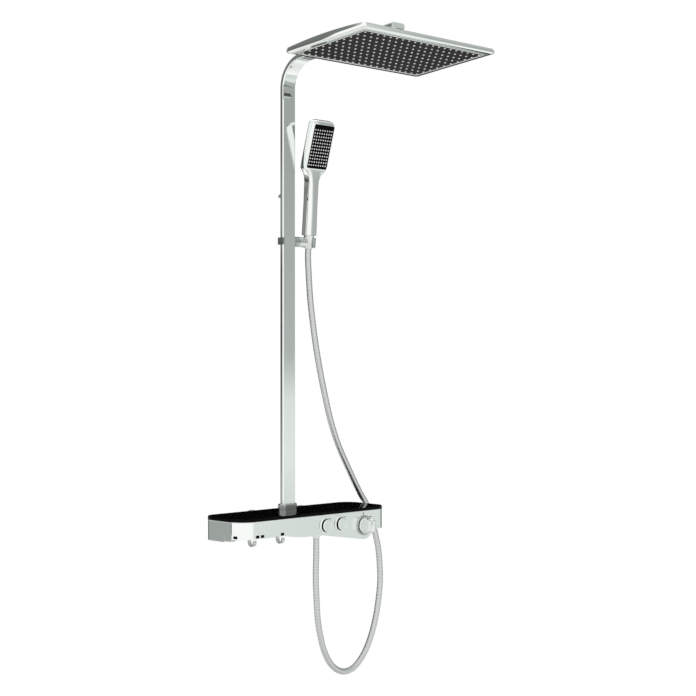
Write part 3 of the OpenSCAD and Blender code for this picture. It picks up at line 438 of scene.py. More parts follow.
def evaluated(obj: bpy.types.Object) -> bpy.types.Mesh:
    """The object's mesh with its modifiers applied; the object itself is removed.

    Args:
        obj: A scratch object.

    Returns:
        The plain mesh.
    """
    bpy.context.view_layer.update()
    graph = bpy.context.evaluated_depsgraph_get()
    mesh = bpy.data.meshes.new_from_object(obj.evaluated_get(graph), depsgraph=graph)
    bpy.data.objects.remove(obj)
    return mesh


def scratch(data: bpy.types.ID, name: str) -> bpy.types.Object:
    """Links an object to the scene.

    Args:
        data: Its mesh, curve, lamp or camera.
        name: Its name.

    Returns:
        The object.
    """
    obj = bpy.data.objects.new(name, data)
    bpy.context.scene.collection.objects.link(obj)
    return obj


def soften(mesh: bpy.types.Mesh, angle: float) -> None:
    """Shades a mesh smooth, but for the edges that turn by more than an angle in degrees."""
    mesh.shade_smooth()
    mesh.set_sharp_from_angle(angle=math.radians(angle))


FACE_WEIGHT = 60


def weighed(mesh: bpy.types.Mesh) -> bpy.types.Mesh:
    """Lets large flat faces keep their own direction up to their rounded edges.

    Args:
        mesh: The mesh, which is used up.

    Returns:
        The mesh with its own normals.
    """
    obj = scratch(mesh, "weigh")
    weigh = obj.modifiers.new("weigh", "WEIGHTED_NORMAL")
    weigh.keep_sharp = True
    weigh.weight = FACE_WEIGHT
    return evaluated(obj)


def add_piece(
    name: str,
    mesh: bpy.types.Mesh,
    finish: Finish,
    body: Body,
    stands_for: Sequence[str] = (),
    crease: float = 35.0,
    weigh: bool = False,
) -> bpy.types.Object:
    """Makes a piece that rides on a body.

    Args:
        name: The piece's name.
        mesh: Its mesh, in the frame's place.
        finish: What it is made of.
        body: The body that it rides on.
        stands_for: The CAD nodes that it replaces.
        crease: Edges that turn by more than this, in degrees, stay sharp.
        weigh: Whether large faces rule the shading of their rounded edges.

    Returns:
        The piece.
    """
    soften(mesh, crease)
    if weigh:
        mesh = weighed(mesh)
    mesh.name = name
    mesh.materials.clear()
    mesh.materials.append(finish.material())
    piece = scratch(mesh, name)
    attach(piece, body.value)
    if stands_for:
        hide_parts(*stands_for)
    log.info("%s: %d faces, on %s", name, len(mesh.polygons), body.value)
    return piece


WELD_DISTANCE = 0.002 * MM
FLAT_ANGLE = math.radians(0.3)
EDGE_ANGLE = math.radians(32)
EASED_CREASE = 48.0


def eased(
    node: str,
    name: str,
    width: float,
    finish: Finish = CHROME,
    body: Body = Body.FIXED,
    segments: int = 2,
) -> bpy.types.Object:
    """Replaces a CAD node by a copy of it with whole flat faces and rounded edges.

    Args:
        node: The CAD node.
        name: The piece's name.
        width: Width of the rounding.
        finish: What it is made of.
        body: The body that it rides on.
        segments: Faces across the rounding.

    Returns:
        The piece.
    """
    bm = bmesh.new()
    bm.from_mesh(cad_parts[node].data)
    bmesh.ops.remove_doubles(bm, verts=bm.verts, dist=WELD_DISTANCE)
    bmesh.ops.dissolve_limit(bm, angle_limit=FLAT_ANGLE, verts=bm.verts, edges=bm.edges)
    obj = scratch(mesh_of(bm), name + "_raw")
    bevel = obj.modifiers.new("ease", "BEVEL")
    bevel.width = width
    bevel.segments = segments
    bevel.limit_method = "ANGLE"
    bevel.angle_limit = EDGE_ANGLE
    bevel.miter_outer = "MITER_ARC"
    bevel.use_clamp_overlap = True
    return add_piece(name, evaluated(obj), finish, body, [node], EASED_CREASE, weigh=True)


def cut(mesh: bpy.types.Mesh, cutters: Sequence[bpy.types.Mesh]) -> bpy.types.Mesh:
    """Cuts closed shapes out of a closed shape.

    Args:
        mesh: The shape, which is used up.
        cutters: What is cut away, used up too.

    Returns:
        The mesh.
    """
    obj = scratch(mesh, "cut")
    tools = [scratch(cutter, "cutter") for cutter in cutters]
    for tool in tools:
        boolean = obj.modifiers.new("cut", "BOOLEAN")
        boolean.operation = "DIFFERENCE"
        boolean.solver = "EXACT"
        boolean.object = tool
    made = evaluated(obj)
    for tool in tools:
        bpy.data.objects.remove(tool)
    return made


def joined(meshes: Iterable[bpy.types.Mesh]) -> bpy.types.Mesh:
    """Joins several meshes into one.

    Args:
        meshes: The meshes, which are used up.

    Returns:
        The mesh.
    """
    bm = bmesh.new()
    for mesh in meshes:
        bm.from_mesh(mesh)
        bpy.data.meshes.remove(mesh)
    return mesh_of(bm)


def loft(rings: Sequence[Sequence[Point]], place: Matrix = Matrix(), closed: bool = False) -> bpy.types.Mesh:
    """Joins rings of the same number of points by a skin, with capped ends.

    Args:
        rings: The rings, in order. Equal points of one ring become one corner, as at a pole.
        place: Where the local origin and axes lie.
        closed: Whether the last ring joins the first, with no ends to cap.

    Returns:
        The mesh.
    """
    bm = bmesh.new()
    rows = []
    for ring in rings:
        corner = {point: bm.verts.new(point) for point in dict.fromkeys(ring)}
        rows.append([corner[point] for point in ring])
    faces = [] if closed else [rows[0], rows[-1]]
    for low, high in zip(rows, rows[1:] + rows[:1] if closed else rows[1:]):
        for a, b, c, d in zip(low, low[1:] + low[:1], high[1:] + high[:1], high):
            faces.append([a, b, c, d])
    for face in faces:
        corners = list(dict.fromkeys(face))
        if len(corners) > 2:
            bm.faces.new(corners)
    bmesh.ops.recalc_face_normals(bm, faces=bm.faces)
    bmesh.ops.transform(bm, matrix=place, verts=bm.verts)
    return mesh_of(bm)


def lathe(profile: Profile, place: Matrix, steps: int, closed: bool = False) -> bpy.types.Mesh:
    """Turns a profile about the local Z axis.

    Args:
        profile: Radius and height of each point, from the bottom up, or round a loop if closed.
        place: Where the local origin and axes lie.
        steps: Faces round the axis.
        closed: Whether the profile is a loop, as of a ring or a tube.

    Returns:
        The mesh.
    """
    turn = [2 * math.pi * k / steps for k in range(steps)]
    rings = [[(out * math.cos(a), out * math.sin(a), height) for a in turn] for out, height in profile]
    return loft(rings, place, closed)


def plate(outline: Sequence[Pair], low: float, high: float, place: Matrix) -> bpy.types.Mesh:
    """A flat slab of an outline, between two heights along its place's Z axis."""
    return loft([[(x, y, z) for x, y in outline] for z in (low, high)], place)


SLEEVE_DEPTH = 0.0003
SLEEVE_PROUD = 0.00004


def sleeve(radius: float, low: float, high: float, place: Matrix) -> bpy.types.Mesh:
    """A thin band round the local Z axis, just proud of the flank that it covers."""
    inner, outer = radius - SLEEVE_DEPTH, radius + SLEEVE_PROUD
    return lathe([(inner, low), (outer, low), (outer, high), (inner, high)], place, 72, closed=True)


def band(
    profile: Profile,
    size: Pair,
    radius: float,
    place: Matrix,
    narrowing: float = 1.0,
    turning: float = 1.0,
) -> bpy.types.Mesh:
    """A closed band round a rectangle with round corners.

    Args:
        profile: How far each point of its section lies outside the rectangle, and its height.
        size: Width and depth of the rectangle.
        radius: Its corner radius.
        place: Where the local origin and axes lie.
        narrowing: The band's reach along its depth, as a share of that along its width.
        turning: How much the corner radius grows per unit of reach.

    Returns:
        The mesh.
    """
    rings = []
    for out, height in profile:
        ring = rounded_rectangle(size[0] + 2 * out, size[1] + 2 * out * narrowing, radius + out * turning, 8)
        rings.append([(x, y, height) for x, y in ring])
    return loft(rings, place, closed=True)


def rounded_rectangle(width: float, depth: float, radius: float, steps: int = 6) -> list[Pair]:
    """Points round a rectangle with round corners, centred on the origin.

    Args:
        width: Size along the first axis.
        depth: Size along the second axis.
        radius: Corner radius.
        steps: Points round each corner, less one.

    Returns:
        The points, anticlockwise.
    """
    points = []
    for corner, (sx, sy) in enumerate([(1, 1), (-1, 1), (-1, -1), (1, -1)]):
        for k in range(steps + 1):
            angle = math.radians(90 * corner + 90 * k / steps)
            x = sx * (width / 2 - radius) + radius * math.cos(angle)
            y = sy * (depth / 2 - radius) + radius * math.sin(angle)
            points.append((x, y))
    return points


def oval(width: float, depth: float, power: float, count: int) -> list[Pair]:
    """Points round a rectangle with very round corners.

    Args:
        width: Size along the first axis.
        depth: Size along the second axis.
        power: 1 for an ellipse, and towards 0 for a rectangle.
        count: Number of points.

    Returns:
        The points, anticlockwise.
    """
    points = []
    for k in range(count):
        c, s = math.cos(2 * math.pi * k / count), math.sin(2 * math.pi * k / count)
        x = width / 2 * math.copysign(abs(c) ** power, c)
        y = depth / 2 * math.copysign(abs(s) ** power, s)
        points.append((x, y))
    return points


def smooth_between(rows: Sequence[Sequence[float]], steps: int) -> list[list[float]]:
    """Rows of numbers with more rows between them, on a smooth curve through them all.

    Args:
        rows: The known rows.
        steps: Rows from each known row to the next.

    Returns:
        The rows.
    """
    made = []
    last = len(rows) - 1
    for i in range(last):
        near = list(zip(rows[max(i - 1, 0)], rows[i], rows[i + 1], rows[min(i + 2, last)]))
        for t in (k / steps for k in range(steps)):
            row = []
            for p, q, r, s in near:
                square, cube = 2 * p - 5 * q + 4 * r - s, 3 * q - 3 * r + s - p
                row.append(0.5 * (2 * q + (r - p) * t + square * t**2 + cube * t**3))
            made.append(row)
    made.append(list(rows[last]))
    return made


def tilted(origin: Point, degrees: float) -> Matrix:
    """A place whose axes are turned about X."""
    return Matrix.Translation(origin) @ Matrix.Rotation(math.radians(degrees), 4, "X")


def facing_out(x: float, y: float, z: float) -> Matrix:
    """A place whose local Z axis points away from the wall."""
    return tilted((x, y, z), 90)


SHELF_FRONT = -0.141
HEAD_PLACE = tilted((0, -0.3688, 1.014346), -5.5)
GRIP_FOOT: Point = (0.066, -0.040, 0.634)
GRIP_PLACE = tilted(GRIP_FOOT, 4)
PLATE_PLACE = tilted((0.066, -0.0661, 0.8022), 106.35)


class Recipe(Nodes):
    """A Geometry Nodes tree with named inputs."""

    def __init__(self, name: str, inputs: dict[str, str]) -> None:
        """Makes the tree with its inputs.

        Args:
            name: The tree's name.
            inputs: Kind of each named input, as in the name of its socket type.
        """
        super().__init__(bpy.data.node_groups.new(name, "GeometryNodeTree"))
        face = self.tree.interface
        face.new_socket("Geometry", in_out="INPUT", socket_type="NodeSocketGeometry")
        self.keys = {
            label: face.new_socket(label, in_out="INPUT", socket_type="NodeSocket" + kind).identifier
            for label, kind in inputs.items()
        }
        face.new_socket("Geometry", in_out="OUTPUT", socket_type="NodeSocketGeometry")
        self.given = self.add("NodeGroupInput")

    def end(self, geometry: Signal) -> None:
        """Ends the tree with real geometry in the given finish.

        Args:
            geometry: What the tree makes.
        """
        real = self.add("GeometryNodeRealizeInstances", None, {0: geometry})
        dressed = self.add("GeometryNodeSetMaterial", None, {0: real[0], "Material": self.given["Finish"]})
        self.add("NodeGroupOutput", None, {0: dressed[0]})

    def cook(self, data: bpy.types.ID, values: dict[str, object]) -> bpy.types.Mesh:
        """Runs the tree on an object and returns plain mesh.

        Args:
            data: The object's mesh or curve.
            values: What each named input is set to.

        Returns:
            The mesh.
        """
        obj = scratch(data, self.tree.name + "_run")
        modifier = obj.modifiers.new("recipe", "NODES")
        modifier.node_group = self.tree
        for label, value in values.items():
            modifier[self.keys[label]] = value
        return evaluated(obj)


class GridRecipe(Recipe):
    """Copies of a small piece on a grid in the local XY plane."""

    def __init__(self) -> None:
        """Builds the tree."""
        super().__init__("grid_of_pieces", {
            "Piece": "Object", "Columns": "Int", "Rows": "Int", "Pitch X": "Float", "Pitch Y": "Float",
            "Finish": "Material",
        })
        given = self.given
        grid = self.add("GeometryNodeMeshGrid", None, {
            "Size X": (given["Columns"] - 1.0) * given["Pitch X"],
            "Size Y": (given["Rows"] - 1.0) * given["Pitch Y"],
            "Vertices X": given["Columns"],
            "Vertices Y": given["Rows"],
        })
        piece = self.add("GeometryNodeObjectInfo", None, {"Object": given["Piece"]})
        copies = self.add("GeometryNodeInstanceOnPoints", None, {
            "Points": grid["Mesh"], "Instance": piece["Geometry"],
        })
        self.end(copies[0])


class RibbedTubeRecipe(Recipe):
    """A round tube along a curve, with a groove at the end of each pitch."""

    def __init__(self, stations: int) -> None:
        """Builds the tree.

        Args:
            stations: Rings of points in each pitch.
        """
        super().__init__("ribbed_tube", {
            "Radius": "Float", "Pitch": "Float", "Groove": "Float", "Sides": "Int", "Finish": "Material",
        })
        given = self.given
        fine = self.add("GeometryNodeResampleCurve", {"mode": "LENGTH"}, {
            "Curve": given["Geometry"], "Length": given["Pitch"] / float(stations),
        })
        step = self.add("GeometryNodeInputIndex")[0] % float(stations)
        low = step > stations - 1.5
        edge = (step < 0.5).at_least(step > stations - 2.5) - low
        depth = low + edge * 0.25
        marked = self.add("GeometryNodeStoreNamedAttribute", {"data_type": "FLOAT", "domain": "POINT"}, {
            "Geometry": fine[0], "Name": "groove", "Value": depth,
        })
        ring = self.add("GeometryNodeCurvePrimitiveCircle", None, {
            "Resolution": given["Sides"], "Radius": 1.0,
        })
        tube = self.add("GeometryNodeCurveToMesh", None, {
            "Curve": marked[0], "Profile Curve": ring[0], "Fill Caps": True,
            "Scale": given["Radius"] - depth * given["Groove"],
        })
        self.end(tube[0])


@dataclass(frozen=True)
class NozzleMat:
    """A soft mat behind a spray face, with a nozzle through each of the face's holes.

    The nozzles run from the mat's near face, at the foot's height, to their tips. The skirt's width and
    the two heights are shares of a nozzle's radius in its hole, and the widths of its tip, mouth and
    throat are shares of its radius outside.
    """

    columns: int
    rows: int
    pitch: Pair
    radius: float
    skirt: float
    sides: int
    tip: float
    foot: float
    back: float
    size: Pair
    corner: float
    shift: float = 0.0
    tip_height: float = 0.35
    skirt_height: float = 0.49
    tip_width: float = 0.8
    mouth: float = 0.38
    throat: float = 0.34

    def nozzle(self) -> bpy.types.Object:
        """One nozzle along its local Z axis, as a scratch object."""
        inward = math.copysign(self.radius, self.foot - self.tip)
        inside, neck = self.tip + inward * self.tip_height, self.tip + inward * self.skirt_height
        outer = self.radius * (1.0 + self.skirt) / 2
        mesh = lathe([
            (0.0, self.foot), (self.radius, self.foot), (self.radius, neck),
            (self.radius * self.skirt, neck), (outer, inside), (outer * self.tip_width, self.tip),
            (outer * self.mouth, self.tip), (outer * self.throat, inside), (0.0, inside),
        ], Matrix(), self.sides)
        mesh.shade_smooth()
        return scratch(mesh, "nozzle")

    def form(self, place: Matrix) -> bpy.types.Mesh:
        """The mat and its nozzles as one mesh.

        Args:
            place: Where the middle of the face and its axes lie.

        Returns:
            The mesh.
        """
        nozzle = self.nozzle()
        nozzles = GridRecipe().cook(bpy.data.meshes.new("grid"), {
            "Piece": nozzle, "Columns": self.columns, "Rows": self.rows, "Pitch X": self.pitch[0],
            "Pitch Y": self.pitch[1], "Finish": WHITE_SILICONE.material(),
        })
        bpy.data.objects.remove(nozzle)
        nozzles.transform(place @ Matrix.Translation((0, self.shift, 0)))
        low, high = sorted((self.foot, self.back))
        return joined([plate(rounded_rectangle(*self.size, self.corner), low, high, place), nozzles])


@dataclass
class Hose:
    """The flexible hose, from its nut below the shelf to the cone below the hand shower."""

    diameter: float = 0.014
    pitch: float = 0.0034
    groove: float = 0.00045
    stations: int = 5
    sides: int = 20
    neck_length: float = 0.120
    tail_length: float = 0.062
    tail_share: float = 0.96
    tail_steps: int = 8
    line_steps: int = 12
    crease: float = 70.0
    loop_side: Point = (0.15, -0.05, -0.03)
    route: tuple[Point, ...] = (
        (0.058, -0.074, -0.041), (0.058, -0.074, -0.056), (0.0575, -0.074, -0.090),
        (0.0575, -0.073, -0.130), (0.0595, -0.073, -0.180), (0.0655, -0.072, -0.235),
        (0.077, -0.072, -0.283), (0.091, -0.071, -0.314), (0.109, -0.071, -0.339),
        (0.134, -0.070, -0.356), (0.159, -0.070, -0.361), (0.186, -0.069, -0.355),
        (0.210, -0.069, -0.337), (0.231, -0.068, -0.312), (0.248, -0.067, -0.281),
        (0.262, -0.066, -0.244), (0.2715, -0.065, -0.206), (0.278, -0.064, -0.165),
        (0.2775, -0.063, -0.124), (0.274, -0.062, -0.088), (0.266, -0.060, -0.052),
        (0.2545, -0.057, -0.012), (0.240, -0.054, 0.023), (0.2215, -0.051, 0.051),
        (0.186, -0.049, 0.109), (0.153, -0.048, 0.167), (0.1295, -0.047, 0.224),
        (0.113, -0.046, 0.280), (0.0985, -0.045, 0.336), (0.0865, -0.044, 0.391),
        (0.077, -0.043, 0.447), (0.0705, -0.041, 0.502), (0.0675, -0.039, 0.557),
        (0.0662, -0.038, 0.592), (0.066, -0.038, 0.606), (0.066, -0.039, 0.6199),
    )

    @staticmethod
    def length_of(points: Sequence[Vector]) -> float:
        """The length along the points."""
        return sum((b - a).length for a, b in zip(points, points[1:]))

    def tube(
        self, recipe: RibbedTubeRecipe, points: Sequence[Vector], radius: float, name: str
    ) -> bpy.types.Mesh:
        """A ribbed tube along points.

        Args:
            recipe: What makes it.
            points: Its middle line.
            radius: Its outer radius.
            name: The mesh's name.

        Returns:
            The mesh.
        """
        curve = bpy.data.curves.new(name + "_line", "CURVE")
        curve.dimensions = "3D"
        curve.twist_mode = "MINIMUM"
        spline = curve.splines.new("POLY")
        spline.points.add(len(points) - 1)
        for knot, p in zip(spline.points, points):
            knot.co = (*p, 1.0)
        mesh = recipe.cook(curve, {
            "Radius": radius, "Pitch": self.pitch, "Groove": self.groove, "Sides": self.sides,
            "Finish": SLEEVE.material(),
        })
        soften(mesh, self.crease)
        mesh.name = name
        return mesh

    def build(self) -> None:
        """Builds the long run, the neck up to the holder, and the end in the handle."""
        recipe = RibbedTubeRecipe(self.stations)
        line = [Vector(p) for p in smooth_between(self.route, self.line_steps)]
        split = len(line) - 1
        while self.length_of(line[split:]) < self.neck_length:
            split -= 1
        run, neck = line[: split + 1], line[split:]
        radius = self.diameter / 2
        rise = (GRIP_PLACE.to_3x3() @ Vector((0, 0, 1))) * self.tail_length
        inner = [line[-1] + rise * (k / self.tail_steps) for k in range(self.tail_steps + 1)]
        end = self.tube(recipe, inner, radius * self.tail_share, "hose_end")
        tail = add_piece("hose_end", end, SLEEVE, Body.HOLDER, crease=self.crease)
        nut = [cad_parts["hose_nut"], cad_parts["nut_washer"]]
        top = (*self.loop_side[:2], run[-1].z)
        for name, points, near, far, start, stop, fittings in (
            ("hose_run", run, Body.FIXED, Body.SLIDER, self.loop_side, top, nut),
            ("hose_neck", neck, Body.SLIDER, Body.HOLDER, tuple(neck[0]), self.route[-2], [tail]),
        ):
            piece = scratch(self.tube(recipe, points, radius, name), name)
            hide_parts("hose")
            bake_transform(piece)


@dataclass
class WallShelf:
    """The shelf: its chromed housing, black glass top, hook rail, hooks and printed marks.

    The lip's section gives how far it stands out and its height. A patch of painted shade gives its width,
    height, corner radius and steps, and a dash its X, Z, width and height.
    """

    soft_edge: float = 0.0006
    fine_edge: float = 0.0004
    cap_edge: float = 0.0008
    seal_edge: float = 0.0001
    lip_size: Pair = (0.450, 0.134)
    lip_radius: float = 0.036
    lip_middle: Point = (0, -0.074, 0)
    lip_section: Profile = (
        (-0.0005, 0.0172), (0.0001, 0.0172), (0.00035, 0.0174), (0.0005, 0.0178), (0.00055, 0.0182),
        (0.0005, 0.0186), (0.00035, 0.0189), (0.0001, 0.01915), (-0.0005, 0.01915),
    )
    shade_patch_xs: tuple[float, ...] = (-0.179, -0.165, -0.107)
    shade_patch_z: float = -0.0134
    shade_patch_size: tuple[float, float, float, int] = (0.0098, 0.0058, 0.0006, 3)
    shade_patch_depth: Pair = (0.1386, 0.1392)
    corner: Pair = (-0.189, -0.105)
    corner_turn: float = -70.0
    corner_shade_patch_depth: Pair = (0.0335, 0.0341)
    mark_rise: float = 0.00025
    mark_corner: float = 0.45
    dashes: tuple[tuple[float, float, float, float], ...] = (
        (0.0372, 0.0098, 0.0065, 0.0013), (0.0837, 0.0098, 0.0066, 0.0013), (0.166, 0.0042, 0.010, 0.0016),
        (0.1670, -0.0010, 0.004, 0.0014),
    )

    def build(self) -> None:
        """Builds and dresses the shelf."""
        eased("shelf_housing", "shelf_shell", self.soft_edge)
        eased("glass_shelf", "glass_top", self.fine_edge, GLASS)
        eased("glass_gasket", "glass_seal", self.seal_edge, BLACK_RUBBER, segments=1)
        eased("hook_rail", "rail_bar", self.fine_edge)
        eased("rail_end_cap", "rail_cap", self.cap_edge)
        eased("hook_left", "towel_hook_left", self.soft_edge, HOOK_PAINTED_SHADE_CHROME, Body.LEFT_HOOK)
        eased("hook_right", "towel_hook_right", self.soft_edge, HOOK_PAINTED_SHADE_CHROME, Body.RIGHT_HOOK)
        lip = band(self.lip_section, self.lip_size, self.lip_radius, Matrix.Translation(self.lip_middle))
        add_piece("shelf_lip", lip, CHROME, Body.FIXED, crease=60)
        # Painted shade: black plates on the hook rail's front and round corner.
        add_piece("rail_windows", self.shade_patches(), BLACK_FACE_AND_PAINTED_SHADE, Body.FIXED)
        add_piece("scale_marks", self.marks(), BLACK_PLASTIC, Body.FIXED)

    def shade_patches(self) -> bpy.types.Mesh:
        """Black plates of painted shade on the rail, where its front and its round corner show dark gaps."""
        outline = rounded_rectangle(*self.shade_patch_size)
        shade_plates = [plate(outline, *self.shade_patch_depth, facing_out(x, 0, self.shade_patch_z)) for x in self.shade_patch_xs]
        corner = Matrix.Translation((*self.corner, self.shade_patch_z))
        turn = Matrix.Rotation(math.radians(self.corner_turn), 4, "Z")
        shade_plates.append(plate(outline, *self.corner_shade_patch_depth, corner @ turn @ facing_out(0, 0, 0)))
        return joined(shade_plates)

    def marks(self) -> bpy.types.Mesh:
        """The short dark marks beside the buttons and the knob."""
        slabs = []
        for x, z, width, height in self.dashes:
            outline = rounded_rectangle(width, height, height * self.mark_corner, 4)
            slabs.append(plate(outline, -self.mark_rise, self.mark_rise, facing_out(x, SHELF_FRONT, z)))
        return joined(slabs)


@dataclass
class TemperatureKnob:
    """The thermostat's round knob with its upright grip, safety button and ring.

    Each section of the grip gives its distance from the wall, its height and its thickness.
    """

    x: float = 0.145
    z: float = -0.014
    radius: float = 0.0195
    back: float = 0.1422
    face: float = 0.1482
    ease: float = 0.0015
    ease_steps: int = 6
    grip_corner: float = 0.42
    # Reach from the wall of a black band of painted shade round the knob's flank.
    skirt: Pair = (0.1426, 0.1456)
    catch_edge: float = 0.0004
    ring_edge: float = 0.0006
    index: tuple[float, float, float, int] = (0.0016, 0.0062, 0.0005, 3)
    index_rise: float = 0.0003
    index_place: Pair = (0.143, 0.0129)
    grip: tuple[tuple[float, float, float], ...] = (
        (0.1470, 0.0350, 0.0110), (0.1500, 0.0347, 0.0109), (0.1560, 0.0331, 0.0105),
        (0.1630, 0.0308, 0.0099), (0.1690, 0.0286, 0.0092), (0.1725, 0.0272, 0.0084),
        (0.1745, 0.0260, 0.0070), (0.1756, 0.0244, 0.0050), (0.1760, 0.0222, 0.0026),
    )

    def build(self) -> None:
        """Builds and dresses the knob."""
        place = facing_out(self.x, 0, self.z)
        knob = joined([self.base(place), self.grip_form(place)])
        add_piece("knob", knob, PAINTED_SHADE_CHROME, Body.KNOB, ["thermostat_knob"])
        # Painted shade: a black band round the knob's flank, for the dark gap at its edge.
        add_piece("knob_skirt", sleeve(self.radius, *self.skirt, place), BLACK_FACE_AND_PAINTED_SHADE, Body.KNOB)
        eased("safety_button", "safety_catch", self.catch_edge, CHROME, Body.SAFETY)
        eased("knob_ring", "knob_bezel", self.ring_edge, SHADED)
        x, z = self.index_place
        index = plate(rounded_rectangle(*self.index), 0.0, self.index_rise, facing_out(x, SHELF_FRONT, z))
        add_piece("knob_index", index, BLACK_PLASTIC, Body.FIXED)

    def base(self, place: Matrix) -> bpy.types.Mesh:
        """The round base, with an eased front edge.

        Args:
            place: The knob's axis.

        Returns:
            The mesh.
        """
        edge = []
        for k in range(self.ease_steps + 1):
            angle = math.radians(90 * k / self.ease_steps)
            edge.append((self.radius - self.ease * (1 - math.cos(angle)),
                         self.face - self.ease * (1 - math.sin(angle))))
        return lathe([(0.0, self.back), (self.radius, self.back), *edge, (0.0, self.face)], place, 96)

    def grip_form(self, place: Matrix) -> bpy.types.Mesh:
        """The grip, which narrows to its tip.

        Args:
            place: The knob's axis.

        Returns:
            The mesh.
        """
        rings = []
        for out, height, thick in smooth_between(self.grip, 4):
            outline = rounded_rectangle(thick, height, thick * self.grip_corner, 7)
            rings.append([(x, y, out) for x, y in outline])
        return loft(rings, place)


@dataclass
class PushButtons:
    """The two push buttons that choose an outlet, with their rings."""

    ring_edge: float = 0.0006
    button_edge: float = 0.0003
    middles: Pair = (0.0235, 0.070)
    height: float = -0.005
    radius: float = 0.014
    # Reach from the wall of the black bands of painted shade round the buttons' flanks.
    skirt: Pair = (0.1425, 0.1475)

    def build(self) -> None:
        """Builds and dresses the buttons."""
        eased("button_rings", "button_bezels", self.ring_edge)
        eased("push_button_head", "button_overhead", self.button_edge, CHROME, Body.PUSH_HEAD)
        eased("push_button_hand", "button_hand_shower", self.button_edge, CHROME, Body.PUSH_HAND)
        # Painted shade: a black band round each button's flank, for the dark gap at its edge.
        shade_bands = zip(("overhead_skirt", "hand_skirt"), self.middles, (Body.PUSH_HEAD, Body.PUSH_HAND))
        for name, x, body in shade_bands:
            skirt = sleeve(self.radius, *self.skirt, facing_out(x, 0, self.height))
            add_piece(name, skirt, BLACK_FACE_AND_PAINTED_SHADE, body)


@dataclass
class Riser:
    """The flat riser with its arm, collar and lug."""

    tube_edge: float = 0.0003
    cap_edge: float = 0.0004
    soft_edge: float = 0.0005

    def build(self) -> None:
        """Builds and dresses the riser."""
        eased("riser_tube", "riser", self.tube_edge)
        eased("riser_collar", "collar", self.soft_edge, SHADED)
        eased("riser_lug", "wall_lug", self.soft_edge)
        eased("arm_end_cap", "arm_cap", self.cap_edge)
        eased("arm_boss", "arm_socket", self.soft_edge)


@dataclass
class OverheadShower:
    """The flat overhead shower on its ball joint.

    The rim's section, in millimetres, gives how far it lies outside the opening, and its height.
    """

    cover_edge: float = 0.0006
    ball_edge: float = 0.0003
    nut_edge: float = 0.000552
    opening: Pair = (0.361, 0.195)
    opening_radius: float = 0.003
    reach: Pair = (0.0215, 0.0185)
    corner_growth: float = 0.14
    rim_section: Profile = (
        (0.0, 1.0), (0.0, 0.35), (0.25, 0.1), (0.6, 0.0), (1.6, 0.0), (2.0, 0.25), (2.2, 0.5), (2.8, 0.55),
        (3.4, 0.45), (9.0, 0.55), (15.0, 1.0), (18.5, 1.7), (20.4, 2.6), (21.3, 3.8), (21.5, 5.0),
        (21.5, 8.0), (1.9, 8.0), (1.9, 1.0),
    )
    mat: NozzleMat = NozzleMat(20, 10, (0.0184, 0.0203), radius=0.0021, skirt=1.2, sides=14, tip=-0.0006,
                               foot=0.003, back=0.005, size=(0.362, 0.196), corner=0.003)

    def build(self) -> None:
        """Builds and dresses the overhead shower."""
        eased("head_cover", "spray_cover", self.cover_edge, CHROME, Body.HEAD)
        section = [(out * MM, height * MM) for out, height in self.rim_section]
        rim = band(section, self.opening, self.opening_radius, HEAD_PLACE, self.reach[1] / self.reach[0],
                   self.corner_growth)
        add_piece("spray_rim", rim, CHROME, Body.HEAD, ["head_frame"], crease=24)
        nozzles = self.mat.form(HEAD_PLACE)
        add_piece("spray_nozzles", nozzles, WHITE_SILICONE, Body.HEAD, ["head_nozzles"], crease=50)
        eased("ball_stud", "joint_ball", self.ball_edge, CHROME, Body.STUD)
        eased("swivel_nut", "joint_nut", self.nut_edge, CHROME, Body.HEAD)


